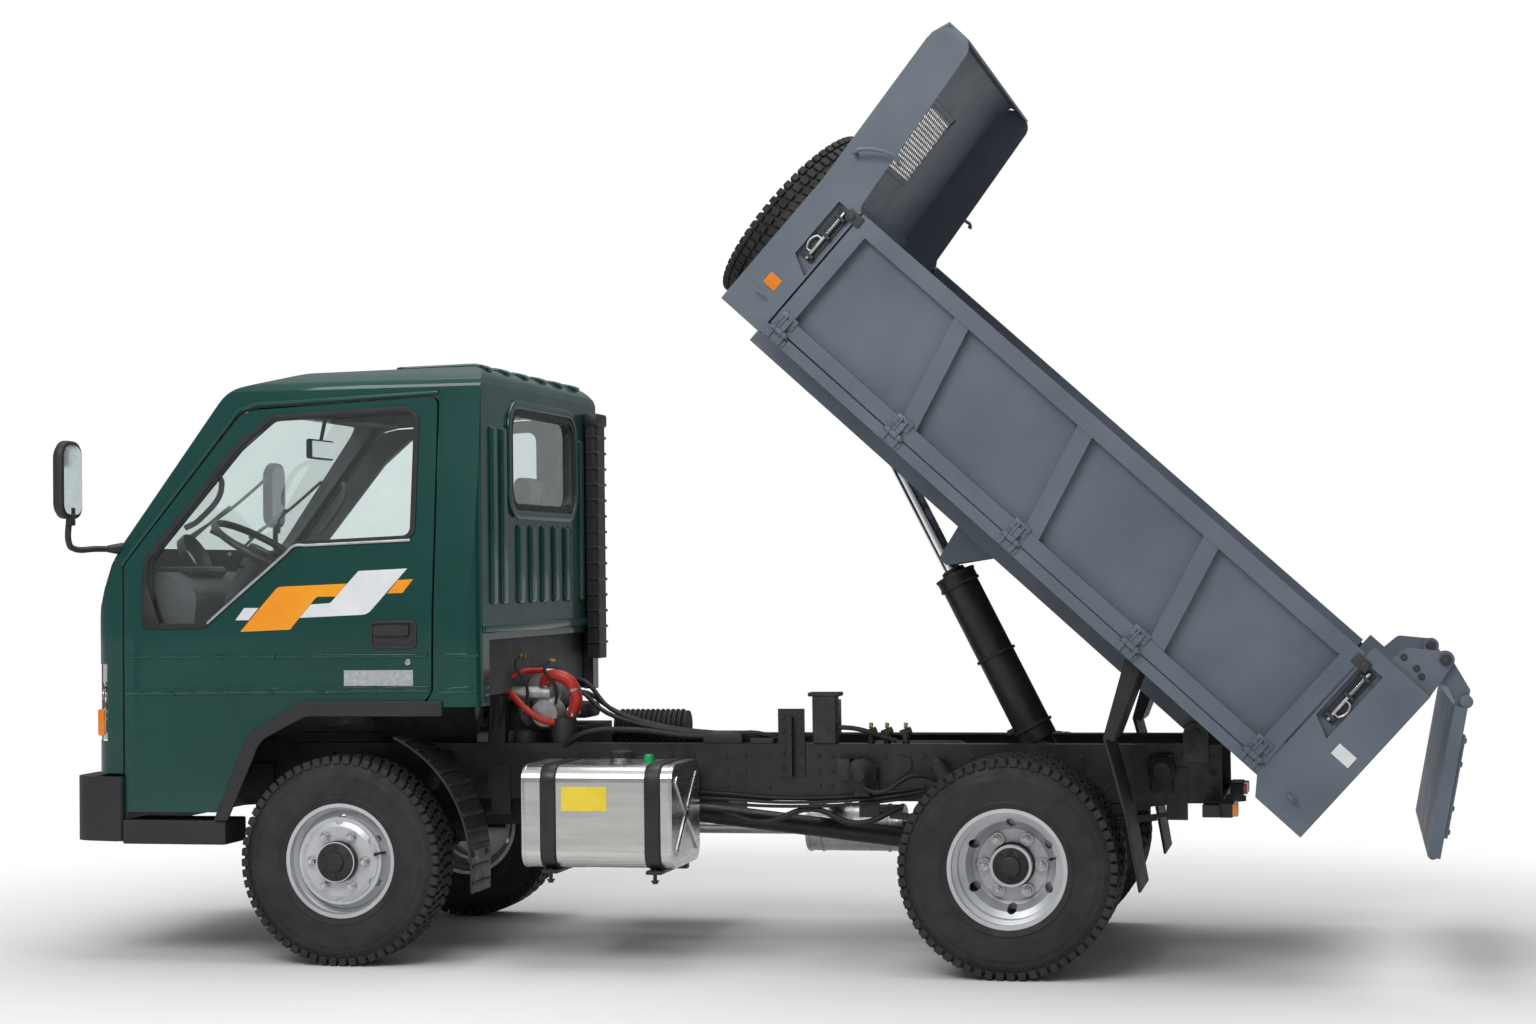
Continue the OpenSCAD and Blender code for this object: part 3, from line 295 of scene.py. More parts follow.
# %% The finish recipe
def finish(name, colour, second=None, rough=(0.4, 0.5), metal=0.0, coat=0.0, patch=6.0,
           grain=None, stretch=(1, 1, 1), clear=0.0, sheen=0.0, ior=1.5, worn=None):
    paint = bpy.data.materials.new(name)
    paint.use_nodes = True
    nodes, links = paint.node_tree.nodes, paint.node_tree.links
    shader = nodes["Principled BSDF"]
    shader.inputs["Metallic"].default_value = metal
    shader.inputs["Coat Weight"].default_value = coat
    shader.inputs["Coat Roughness"].default_value = 0.04
    shader.inputs["Transmission Weight"].default_value = clear
    shader.inputs["Sheen Weight"].default_value = sheen
    shader.inputs["IOR"].default_value = ior
    where = nodes.new("ShaderNodeTexCoord")
    spread = nodes.new("ShaderNodeMapping")
    spread.inputs["Scale"].default_value = stretch
    links.new(where.outputs["Object"], spread.inputs["Vector"])

    def noise(scale, detail):
        node = nodes.new("ShaderNodeTexNoise")
        node.inputs["Scale"].default_value = scale
        node.inputs["Detail"].default_value = detail
        links.new(spread.outputs["Vector"], node.inputs["Vector"])
        return node.outputs["Fac"]

    mottle = noise(patch, 5)
    shade = nodes.new("ShaderNodeValToRGB")
    shade.color_ramp.elements[0].position, shade.color_ramp.elements[1].position = 0.35, 0.65
    shade.color_ramp.elements[0].color = (*colour, 1)
    shade.color_ramp.elements[1].color = (*(second or [c * 1.12 for c in colour]), 1)
    links.new(mottle, shade.inputs["Fac"])
    links.new(shade.outputs["Color"], shader.inputs["Base Color"])
    dull = nodes.new("ShaderNodeMapRange")
    dull.inputs["From Min"].default_value, dull.inputs["From Max"].default_value = 0.3, 0.7
    dull.inputs["To Min"].default_value, dull.inputs["To Max"].default_value = rough
    links.new(noise(patch * 2.3, 6), dull.inputs["Value"])
    links.new(dull.outputs["Result"], shader.inputs["Roughness"])
    if grain:
        scale, depth = grain
        bump = nodes.new("ShaderNodeBump")
        bump.inputs["Strength"].default_value = 0.6
        bump.inputs["Distance"].default_value = depth
        links.new(noise(scale, 3), bump.inputs["Height"])
        links.new(bump.outputs["Normal"], shader.inputs["Normal"])
    return paint

# %% The truck's finishes
CAB_GREEN = finish("cab_green_enamel", (0.002, 0.048, 0.039), (0.003, 0.056, 0.046), (0.3, 0.4), coat=0.7,
    ior=1.3, patch=2.0, grain=(420, 0.00002))
BED_GREY = finish("bed_grey_enamel", (0.098, 0.122, 0.152), (0.125, 0.152, 0.186), (0.38, 0.55),
    patch=3.5, grain=(300, 0.00005))
# A near-black copy of the bed grey: painted shade for the latch slots and the tailgate pivot fittings.
BED_GREY_PAINTED_SHADE = finish("bed_grey_painted_shade", (0.03, 0.033, 0.037), (0.04, 0.043, 0.048), (0.5, 0.7), patch=7,
    grain=(220, 0.0001))
FRAME_BLACK = finish("chassis_black", (0.011, 0.011, 0.012), (0.02, 0.02, 0.021), (0.32, 0.55), patch=9,
    grain=(160, 0.0001))
CAST_BLACK = finish("cast_black", (0.014, 0.014, 0.015), (0.028, 0.027, 0.026), (0.5, 0.75), patch=14,
    grain=(110, 0.0004))
PLASTIC = finish("moulded_black", (0.016, 0.016, 0.018), (0.022, 0.022, 0.024), (0.45, 0.6), patch=5,
    grain=(900, 0.00012))
RUBBER = finish("seal_rubber", (0.01, 0.01, 0.011), (0.016, 0.016, 0.017), (0.55, 0.7), patch=10,
    grain=(500, 0.0001))
TYRE = finish("tyre_rubber", (0.013, 0.013, 0.0135), (0.024, 0.023, 0.022), (0.6, 0.82), patch=8,
    grain=(260, 0.00025))
SILVER = finish("wheel_silver", (0.52, 0.53, 0.55), (0.6, 0.61, 0.62), (0.3, 0.42), metal=0.35, patch=7,
    grain=(300, 0.00005))
STEEL = finish("zinc_steel", (0.42, 0.43, 0.44), (0.56, 0.56, 0.56), (0.25, 0.45), metal=1.0, patch=22,
    grain=(240, 0.00008))
STAINLESS = finish("tank_stainless", (0.56, 0.55, 0.53), (0.63, 0.62, 0.6), (0.24, 0.34), metal=1.0,
    patch=3, grain=(30, 0.00001), stretch=(1, 1, 10))
CHROME = finish("rod_chrome", (0.74, 0.75, 0.77), (0.8, 0.8, 0.82), (0.05, 0.1), metal=1.0, patch=12)
ALLOY = finish("cast_alloy", (0.36, 0.36, 0.36), (0.5, 0.5, 0.49), (0.4, 0.6), metal=0.9, patch=26,
    grain=(180, 0.0003))
BRASS = finish("brass_fitting", (0.42, 0.27, 0.09), (0.55, 0.36, 0.14), (0.25, 0.42), metal=1.0, patch=40)
RED_HOSE = finish("red_silicone", (0.42, 0.018, 0.012), (0.56, 0.03, 0.02), (0.3, 0.45), patch=18,
    grain=(300, 0.0002))
TRIM_GREY = finish("cabin_trim", (0.07, 0.075, 0.08), (0.09, 0.095, 0.1), (0.55, 0.7), patch=4,
    grain=(700, 0.00015))
CLOTH = finish("seat_cloth", (0.055, 0.058, 0.063), (0.085, 0.088, 0.095), (0.85, 0.95), patch=500,
    grain=(900, 0.0005), sheen=0.4)
VINYL = finish("seat_vinyl", (0.06, 0.062, 0.066), (0.072, 0.074, 0.08), (0.4, 0.55), patch=30,
    grain=(420, 0.0003))
RED_LENS = finish("red_lens", (0.5, 0.008, 0.006), (0.6, 0.015, 0.01), (0.06, 0.12), coat=0.6, patch=20)
AMBER = finish("amber_lens", (0.75, 0.2, 0.01), (0.85, 0.27, 0.02), (0.06, 0.12), coat=0.6, patch=20)
YELLOW = finish("yellow_plate", (0.82, 0.6, 0.02), (0.88, 0.66, 0.05), (0.35, 0.5), patch=12,
    grain=(200, 0.00005))
WHITE_MARK = finish("white_mark", (0.72, 0.74, 0.75), (0.8, 0.81, 0.82), (0.25, 0.4), coat=0.4, patch=9)
ORANGE_MARK = finish("orange_mark", (0.9, 0.25, 0.006), (0.92, 0.36, 0.01), (0.25, 0.4), coat=0.4,
    patch=3.4)
LABEL = finish("silver_label", (0.38, 0.39, 0.4), (0.52, 0.53, 0.54), (0.35, 0.5), metal=0.3, patch=60)
GREEN_CAP = finish("green_cap", (0.01, 0.3, 0.07), (0.015, 0.36, 0.1), (0.3, 0.45), patch=30)
print(len(bpy.data.materials), "finishes")

# %% [markdown]
# ## Glass
#
# A pane bends and reflects what the eye sees through it, but a renderer finds
# it hard to send lamp light through bent glass, so a cabin behind it would turn
# black. Light on its way to a lamp therefore meets a clear surface instead.

# %% Window glass and lamp lens
def window_glass(name, tint, second, rough):
    glass = finish(name, tint, second, (rough, rough + 0.03), clear=1.0, ior=1.45, patch=3)
    nodes, links = glass.node_tree.nodes, glass.node_tree.links
    path, either, through, mix = (nodes.new(n) for n in (
        "ShaderNodeLightPath", "ShaderNodeMath", "ShaderNodeBsdfTransparent", "ShaderNodeMixShader"))
    either.operation = "MAXIMUM"
    links.new(path.outputs["Is Shadow Ray"], either.inputs[0])
    links.new(path.outputs["Is Diffuse Ray"], either.inputs[1])
    links.new(either.outputs["Value"], mix.inputs["Fac"])
    links.new(nodes["Principled BSDF"].outputs["BSDF"], mix.inputs[1])
    links.new(through.outputs["BSDF"], mix.inputs[2])
    links.new(mix.outputs["Shader"], nodes["Material Output"].inputs["Surface"])
    return glass

GLASS = window_glass("window_glass", (0.8, 0.87, 0.86), (0.83, 0.89, 0.88), 0.0)
LENS = window_glass("lamp_lens", (0.93, 0.95, 0.96), (0.96, 0.97, 0.98), 0.01)
print("glass ready")

# %% [markdown]
# ## Camera, floor and light
#
# The camera stands level with the cab windows, well back and a little to the
# rear of the truck, with a longer lens, so that the wheels stay round. A wide
# pale floor fades into a white surround, and the world gives even, soft light
# like a studio's white walls. Two large lamps add shape: one above, one in
# front.

# %% Camera
YAW, PITCH, ROLL = 0.220525, 0.023926, -0.012167
camera = bpy.data.objects.new("camera", bpy.data.cameras.new("camera"))
camera.data.lens = 2600.37 / 1536 * 36
camera.data.clip_end = 200
right = Vector((cos(YAW), sin(YAW), 0))
ahead = Vector((-sin(YAW) * cos(PITCH), cos(YAW) * cos(PITCH), sin(PITCH)))
up = right.cross(ahead)
side = right * cos(ROLL) + up * sin(ROLL)
top = up * cos(ROLL) - right * sin(ROLL)
camera.matrix_world = TRUCK @ Matrix.Translation((3.64505, -9.78473, 1.41883)) @ Matrix((side, top,
    -ahead)).transposed().to_4x4()
bpy.context.scene.collection.objects.link(camera)
bpy.context.scene.camera = camera
print("lens", round(camera.data.lens, 1), "mm")

# %% Floor
def floor_finish():
    pale = bpy.data.materials.new("studio_floor")
    pale.use_nodes = True
    nodes, links = pale.node_tree.nodes, pale.node_tree.links
    shader = nodes["Principled BSDF"]
    shader.inputs["Base Color"].default_value = (0.8, 0.8, 0.8, 1)
    shader.inputs["Roughness"].default_value = 0.9
    shader.inputs["Specular IOR Level"].default_value = 0.0
    where, centre, far, fade = (nodes.new(n) for n in ("ShaderNodeTexCoord", "ShaderNodeMapping",
        "ShaderNodeVectorMath", "ShaderNodeMapRange"))
    centre.inputs["Scale"].default_value = (1, 1.15, 1)
    far.operation = "LENGTH"
    fade.inputs["From Min"].default_value, fade.inputs["From Max"].default_value = 2.6, 5.2
    fade.interpolation_type = "SMOOTHSTEP"
    links.new(where.outputs["Object"], centre.inputs["Vector"])
    links.new(centre.outputs["Vector"], far.inputs[0])
    links.new(far.outputs["Value"], fade.inputs["Value"])
    white, look, path = (nodes.new(n) for n in ("ShaderNodeEmission", "ShaderNodeMixShader",
        "ShaderNodeLightPath"))
    white.inputs["Strength"].default_value = 1.0
    seen = nodes.new("ShaderNodeMath")
    seen.operation = "MULTIPLY"
    links.new(fade.outputs["Result"], seen.inputs[0])
    links.new(path.outputs["Is Camera Ray"], seen.inputs[1])
    links.new(seen.outputs["Value"], look.inputs["Fac"])
    links.new(shader.outputs["BSDF"], look.inputs[1])
    links.new(white.outputs["Emission"], look.inputs[2])
    links.new(look.outputs["Shader"], nodes["Material Output"].inputs["Surface"])
    return pale

floor_bm = bmesh.new()
bmesh.ops.create_circle(floor_bm, cap_ends=True, segments=96, radius=60)
floor_mesh = bpy.data.meshes.new("floor")
floor_bm.to_mesh(floor_mesh)
floor_bm.free()
floor = bpy.data.objects.new("floor", floor_mesh)
bpy.context.scene.collection.objects.link(floor)
floor_mesh.materials.append(floor_finish())

# %% World and lamps
world = bpy.data.worlds.new("studio")
bpy.context.scene.world = world
world.use_nodes = True
wn, wl = world.node_tree.nodes, world.node_tree.links
where, split, rise, shade, plain, bright, path, either, mix = (wn.new(n) for n in (
    "ShaderNodeTexCoord", "ShaderNodeSeparateXYZ", "ShaderNodeMapRange", "ShaderNodeValToRGB",
    "ShaderNodeBackground",
    "ShaderNodeBackground", "ShaderNodeLightPath", "ShaderNodeMath", "ShaderNodeMixShader"))
wl.new(where.outputs["Generated"], split.inputs["Vector"])
wl.new(split.outputs["Z"], rise.inputs["Value"])
rise.inputs["From Min"].default_value = -0.2
wl.new(rise.outputs["Result"], shade.inputs["Fac"])
shade.color_ramp.elements[0].color = (0.2, 0.2, 0.21, 1)
shade.color_ramp.elements[1].color = (1, 1, 1, 1)
low_sky = shade.color_ramp.elements.new(0.42)
low_sky.color = (0.36, 0.37, 0.39, 1)
wl.new(shade.outputs["Color"], plain.inputs["Color"])
plain.inputs["Strength"].default_value = 0.8
bright.inputs["Color"].default_value = (1, 1, 1, 1)
either.operation = "MAXIMUM"
wl.new(path.outputs["Is Camera Ray"], either.inputs[0])
wl.new(path.outputs["Is Transmission Ray"], either.inputs[1])
wl.new(either.outputs["Value"], mix.inputs["Fac"])
wl.new(plain.outputs["Background"], mix.inputs[1])
wl.new(bright.outputs["Background"], mix.inputs[2])
wl.new(mix.outputs["Shader"], wn["World Output"].inputs["Surface"])

def softbox(name, place, target, size, watts):
    lamp = bpy.data.lights.new(name, "AREA")
    lamp.shape, lamp.size, lamp.size_y, lamp.energy = "RECTANGLE", size[0], size[1], watts
    holder = bpy.data.objects.new(name, lamp)
    aim = Vector(target) - Vector(place)
    holder.matrix_world = Matrix.Translation(place) @ aim.to_track_quat("-Z", "Y").to_matrix().to_4x4()
    bpy.context.scene.collection.objects.link(holder)

softbox("key", (-1.5, -7.0, 6.5), (0, 0, 1.0), (6, 3), 330)
softbox("top", (0.5, 0.5, 8.5), (0, 0, 0), (7, 5), 300)
bpy.context.scene.view_settings.view_transform = "Standard"
print("studio ready")

# %% [markdown]
# ## A coat of paint for every CAD part
#
# Each node takes the finish that its material slot names. Parts that are
# redrawn below keep their node as well, hidden, for the physics to use.

# %% Paint the CAD nodes
SLOT_PAINT = {"frame_black": FRAME_BLACK, "cab_green": CAB_GREEN, "bed_grey": BED_GREY,
    "wheel_silver": SILVER,
              "tyre_rubber": TYRE, "black_plastic": PLASTIC, "rubber": RUBBER, "glass": GLASS,
              "lamp_clear": LENS,
              "lamp_red": RED_LENS, "interior_grey": TRIM_GREY, "seat_cloth": CLOTH, "cast_metal": CAST_BLACK,
              "tank_steel": STAINLESS, "pipe_steel": STEEL, "rod_chrome": CHROME}
node_slot = {part["node"]: part["material_slot"] for part in frame["record"]["subparts"]}
for name, node in frame["nodes"].items():
    node.data.materials.clear()
    node.data.materials.append(SLOT_PAINT[node_slot[name]])
    node.data.shade_smooth()
    node.data.set_sharp_from_angle(angle=radians(25))
print("painted", len(node_slot), "nodes")

# %% [markdown]
# ## Strips that lie on a surface
#
# Seals, gutters, decals and trims follow the cab's skin. A strip starts as a
# flat outline with rounded corners, seen along one axis. Each of its points is
# then dropped along that axis onto the CAD panels, the two rims of the strip
# are bridged, and the sheet is given its thickness.

# %% Outlines and draping
def rounded(corners, steps=5):
    """(u, v, radius) corners turned into a closed line with round corners."""
    line = []
    for i, (u, v, *more) in enumerate(corners):
        here = Vector((u, v))
        before, after = Vector(corners[i - 1][:2]), Vector(corners[(i + 1) % len(corners)][:2])
        if not more or more[0] <= 0:
            line.append(here)
            continue
        a, b = (before - here).normalized(), (after - here).normalized()
        half = a.angle(b) / 2
        reach = more[0] / math.tan(half)
        middle = here + (a + b).normalized() * more[0] / sin(half)
        start, end = here + a * reach - middle, here + b * reach - middle
        turn = start.angle_signed(end)
        for k in range(steps + 1):
            line.append(middle + Matrix.Rotation(-turn * k / steps, 2) @ start)
    return line

def offset(line, by):
    """The closed line moved outward, or inward where by is negative."""
    area = sum(a.x * b.y - a.y * b.x for a, b in zip(line, line[1:] + line[:1]))
    way = by if area > 0 else -by
    moved = []
    for i, here in enumerate(line):
        before, after = here - line[i - 1], line[(i + 1) % len(line)] - here
        n1 = Vector((before.y, -before.x)).normalized()
        n2 = Vector((after.y, -after.x)).normalized()
        mid = (n1 + n2).normalized()
        moved.append(here + mid * way / max(0.35, mid.dot(n1)))
    return moved

def surface_of(*nodes):
    corners, faces = [], []
    for name in nodes:
        mesh = frame["nodes"][name].data
        faces += [[v + len(corners) for v in face.vertices] for face in mesh.polygons]
        corners += [TRUCK.inverted() @ v.co for v in mesh.vertices]
    return BVHTree.FromPolygons(corners, faces)

SKIN = surface_of("cab_shell", "front_panel", "door_left", "door_right")
LOOKS = {"left": (Vector((0, 1, 0)), lambda u, v: Vector((u, -1.2, v))),
         "right": (Vector((0, -1, 0)), lambda u, v: Vector((u, 1.2, v))),
         "front": (Vector((1, 0, 0)), lambda u, v: Vector((-1.6, u, v))),
         "rear": (Vector((-1, 0, 0)), lambda u, v: Vector((1.2, u, v))),
         "top": (Vector((0, 0, -1)), lambda u, v: Vector((u, v, 2.6)))}

def dropped(look, u, v, lift=0.0, skin=SKIN):
    way, start = LOOKS[look]
    hit = skin.ray_cast(start(u, v), way)[0]
    return hit - way * lift if hit else None

def laid_loop(piece, line):
    verts = [piece.verts.new((p[0], p[1], 0)) for p in line]
    return [piece.edges.new(pair) for pair in zip(verts, verts[1:] + verts[:1])]

def drape(part, look, outer, inner=None, lift=0.0, thick=0.004, skin=SKIN, edge=0.0, cell=0.04):
    """A strip between two closed lines, or a patch where there is one, laid on the skin."""
    piece = bmesh.new()
    if inner is None:
        bmesh.ops.triangle_fill(piece, use_beauty=True, edges=laid_loop(piece, outer))
        for axis in (0, 1):
            ends = [p[axis] for p in outer]
            normal = (1, 0, 0) if axis == 0 else (0, 1, 0)
            for k in range(1, int((max(ends) - min(ends)) / cell) + 1):
                place = [0, 0, 0]
                place[axis] = min(ends) + k * cell
                bmesh.ops.bisect_plane(piece, geom=piece.verts[:] + piece.edges[:] + piece.faces[:],
                                       plane_co=place, plane_no=normal)
    else:
        bmesh.ops.bridge_loops(piece, edges=laid_loop(piece, outer) + laid_loop(piece, inner))
    spots = {v: dropped(look, v.co.x, v.co.y, lift, skin) for v in piece.verts}
    found = [(v.co.copy(), s) for v, s in spots.items() if s is not None]
    for vert, spot in spots.items():
        vert.co = spot if spot is not None else min(found, key=lambda f: (f[0] - vert.co).length)[1]
    way = LOOKS[look][0]
    bmesh.ops.recalc_face_normals(piece, faces=piece.faces[:])
    if sum(f.normal.dot(way) * f.calc_area() for f in piece.faces) > 0:
        bmesh.ops.reverse_faces(piece, faces=piece.faces[:])
    bmesh.ops.solidify(piece, geom=piece.faces[:], thickness=-thick)
    bmesh.ops.recalc_face_normals(piece, faces=piece.faces[:])
    if edge:
        sharp = [e for e in piece.edges if len(e.link_faces) == 2 and e.calc_face_angle() > radians(50)]
        bmesh.ops.bevel(piece, geom=sharp, offset=edge, segments=2, profile=0.5, affect="EDGES",
            material=-1)
    return part.add(piece)

def trace(look, line, lift=0.0, skin=SKIN):
    """An open or closed line laid on the skin, as places for a pipe."""
    return [p for p in (dropped(look, q[0], q[1], lift, skin) for q in line) if p is not None]

def along(points, step=0.04):
    """An open line cut into short pieces, so that it can follow a curved skin."""
    line = [Vector(points[0])]
    for a, b in zip(points, points[1:]):
        a, b = Vector(a), Vector(b)
        count = max(1, round((b - a).length / step))
        line += [a.lerp(b, (k + 1) / count) for k in range(count)]
    return line
print("skin ready")

# %% [markdown]
# ## Tyres
#
# A truck tyre is a turned carcass with blocks moulded on. The carcass is one
# profile spun round the axle, a little smaller than the tyre. One block of each
# row is then repeated round it, so the tread is real geometry. The shoulder
# lugs reach down the sidewall, which gives the toothed edge seen from the side.

# %% Carcass and tread
TYRE_W = tyre_high.y - tyre_low.y
TREAD_DEEP = 0.011
BLOCKS = 60
OUT = {-1: Matrix.Rotation(radians(90), 4, "X"), 1: Matrix.Rotation(radians(-90), 4, "X")}

def ring_of(part, low, high, count, edge, lean=0.0, turn=0.0):
    """One moulded block repeated round the axle: low and high are (radius, along tread, along axle)."""
    low, high = Vector(low), Vector(high)
    piece = bmesh.new()
    fit = Matrix.Translation((low + high) / 2) @ Matrix.Rotation(lean, 4,
        "X") @ Matrix.Diagonal((*(high - low), 1))
    bmesh.ops.create_cube(piece, size=1, matrix=fit)
    bmesh.ops.bevel(piece, geom=piece.edges[:], offset=edge, segments=1, profile=0.5, affect="EDGES",
        material=-1)
    bmesh.ops.rotate(piece, cent=(0, 0, 0), matrix=Matrix.Rotation(turn, 3, "Z"), verts=piece.verts[:])
    bmesh.ops.spin(piece, geom=piece.verts[:] + piece.edges[:] + piece.faces[:], use_duplicate=True,
                   steps=count - 1, angle=2 * pi * (count - 1) / count, axis=(0, 0, 1))
    part.add(piece)

def tyre(part, place):
    half, floor_r = TYRE_W / 2, TYRE_R - TREAD_DEEP
    side = [(0.206, half - 0.024), (0.212, half - 0.012), (0.224, half - 0.008), (0.232, half - 0.003),
        (0.237, half - 0.006),
            (0.27, half), (0.315, half + 0.0005), (0.318, half - 0.002), (0.338, half - 0.004), (0.341,
                half - 0.007),
            (0.358, half - 0.011), (floor_r - 0.004, half - 0.02), (floor_r, half - 0.034)]
    ring = Part(Matrix.Identity(4))
    ring.lathe(side + [(r, -h) for r, h in reversed(side)] + [side[0]], Matrix.Identity(4), steps=96)
    step = 2 * pi / BLOCKS
    tall = TYRE_R
    for out in (-1, 1):
        ring_of(ring, (0.356, -0.0145, min(out * 0.062, out * (half - 0.0035))),
                (tall - 0.001, 0.0145, max(out * 0.062,
                    out * (half - 0.0035))), BLOCKS, 0.003, turn=step * (0.25 if out > 0 else 0.75))
        ring_of(ring, (floor_r - 0.003, -0.014, min(out * 0.026, out * 0.056)),
            (tall, 0.014, max(out * 0.026, out * 0.056)),
                BLOCKS, 0.002, lean=0.12 * out, turn=step * (0.6 if out > 0 else 0.1))
    ring_of(ring, (floor_r - 0.003, -0.0145, -0.018), (tall, 0.0145, 0.018), BLOCKS, 0.002, lean=0.3)
    bmesh.ops.transform(ring.bm, matrix=place, verts=ring.bm.verts[:])
    return part.add(ring.bm)

def axle_place(along, across, out=-1):
    return Matrix.Translation((along, across, TYRE_R)) @ OUT[out]

pair_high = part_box("rear_tyres_left")[1]
INNER_Y = -(pair_high.y - TYRE_W / 2)
for side, out in (("left", -1), ("right", 1)):
    tyre(Part(), axle_place(0, out * WHEEL_Y, out)).done(
        f"front_tread_{side}", f"wheel_front_{side}", "tyre_rubber", TYRE, replaces=[f"front_tyre_{side}"])
    pair = Part()
    tyre(pair, axle_place(WHEELBASE, out * WHEEL_Y, out))
    tyre(pair, axle_place(WHEELBASE, out * INNER_Y, out) @ Matrix.Rotation(0.05, 4, "Z"))
    pair.done(f"rear_tread_{side}", f"wheel_rear_{side}", "tyre_rubber", TYRE,
        replaces=[f"rear_tyres_{side}"])

# %% The spare behind the headboard
spare_low, spare_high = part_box("spare_tyre")
SPARE = (Matrix.Translation((spare_low + spare_high) / 2) @ BED.to_3x3().to_4x4()
         @ Matrix.Rotation(radians(-90), 4, "Y"))
tyre(Part(Matrix.Identity(4)), SPARE).done("spare_tread", "bed", "tyre_rubber", TYRE,
    replaces=["spare_tyre"])

# %% [markdown]
# ## Wheel nuts and hubs
#
# Each wheel is held by six nuts on a ring of studs, and turns on a hub with a
# bolted cap. A nut is a hexagon with a washer under it and the stud's end
# showing.

# %% Nuts, caps and valves
STUD_RING = 0.103
DISH = (WHEEL_Y - INNER_Y) / 2

def nuts(part, face, count=6, ring=STUD_RING, size=0.0155):
    for i in range(count):
        a = 2 * pi * i / count
        x, y = ring * cos(a), ring * sin(a)
        part.bar((x, y, face - 0.002), (x, y, face + 0.003), size * 1.35, sides=24)
        part.bar((x, y, face), (x, y, face + 0.017), size, sides=6, edge=0.0015)
        part.bar((x, y, face + 0.016), (x, y, face + 0.026), size * 0.5, size * 0.42, sides=16)

def turned_about(place):
    return Part(TRUCK @ place)

FACE = DISH - 0.014
for side, out in (("left", -1), ("right", 1)):
    front, rear = axle_place(0, out * WHEEL_Y, out), axle_place(WHEELBASE, out * WHEEL_Y, out)
    hub = turned_about(front)
    nuts(hub, FACE)
    hub.done(f"front_nuts_{side}", f"wheel_front_{side}", "wheel_silver", STEEL)
    cap = turned_about(front)
    cap.lathe([(0, FACE + 0.05), (0.03, FACE + 0.05), (0.034, FACE + 0.047), (0.036, FACE + 0.038),
        (0.062, FACE + 0.036),
               (0.074, FACE + 0.033), (0.0765, FACE + 0.026), (0.0765, FACE + 0.002), (0,
                   FACE + 0.002)], Matrix.Identity(4))
    for i in range(6):
        a = 2 * pi * (i + 0.5) / 6
        cap.bolt((0.056 * cos(a), 0.056 * sin(a), FACE + 0.036), (0, 0, 1), 0.006, 0.005)
    cap.done(f"front_hub_cap_{side}", f"wheel_front_{side}", "wheel_silver", CAST_BLACK)
    dish = turned_about(rear)
    nuts(dish, -FACE + 0.008, size=0.017)
    dish.done(f"rear_nuts_{side}", f"wheel_rear_{side}", "wheel_silver", STEEL)
    hub = turned_about(rear)
    deep = -FACE + 0.008
    hub.lathe([(0, 0.0), (0.03, 0.0), (0.036, -0.004), (0.038, -0.02), (0.06, -0.024), (0.066, -0.03),
        (0.0665, -0.05), (0.078, deep + 0.012),
               (0.08, deep), (0, deep)], Matrix.Identity(4))
    for i in range(8):
        a = 2 * pi * i / 8
        hub.bolt((0.051 * cos(a), 0.051 * sin(a), -0.022), (0, 0, 1), 0.006, 0.005)
    hub.done(f"rear_hub_cap_{side}", f"wheel_rear_{side}", "wheel_silver", CAST_BLACK)
    for name, place, low in ((f"front_valve_{side}", front, 0.05), (f"rear_valve_{side}", rear, -0.05)):
        valve = turned_about(place)
        valve.pipe([(0.165, 0.03, low - 0.005), (0.158, 0.03, low + 0.02), (0.146, 0.028, low + 0.035)],
            0.004)
        valve.bar((0.147, 0.028, low + 0.034), (0.141, 0.027, low + 0.042), 0.006, sides=12)
        valve.done(name, f"wheel_{'front' if low > 0 else 'rear'}_{side}", "wheel_silver", RUBBER)
print("hub face", round(FACE, 4), "m outside the tyre's middle")

# %% [markdown]
# ## The cab's panels
#
# Pressed panels have soft edges and a grey lining inside. An eased copy of each
# panel takes the lining as its second finish, on the faces that look inward.

# %% Eased cab panels
CAB_HEART = TRUCK @ Vector((-0.25, 0, 1.45))

def lined(piece, lining, least=0.15):
    """The faces that look towards the cab's heart take the lining."""
    piece.data.materials.append(lining)
    for face in piece.data.polygons:
        inward = (CAB_HEART - face.center).normalized()
        if face.normal.dot(inward) > least:
            face.material_index = 1
    return piece

lined(eased("cab_shell", 0.006, CAB_GREEN), TRIM_GREY)
for side in ("left", "right"):
    lined(eased(f"door_{side}", 0.004, CAB_GREEN), TRIM_GREY)
lined(eased("front_panel", 0.006, CAB_GREEN), TRIM_GREY)
eased("front_bumper", 0.012, PLASTIC, steps=3)
eased("cab_floor", 0.003, TRIM_GREY)
eased("arch_flares", 0.005, PLASTIC)
eased("side_steps", 0.006, PLASTIC)
eased("dashboard", 0.02, TRIM_GREY, steps=3)
eased("battery_box", 0.008, PLASTIC)

# %% [markdown]
# ## Windows, gutters and doors
#
# A black rubber seal runs round each pane, wider at the front corner of the
# door, where it hides the quarter post. A gutter follows the top of the door
# and the screen pillar. The door's outline is the same one the CAD cut.

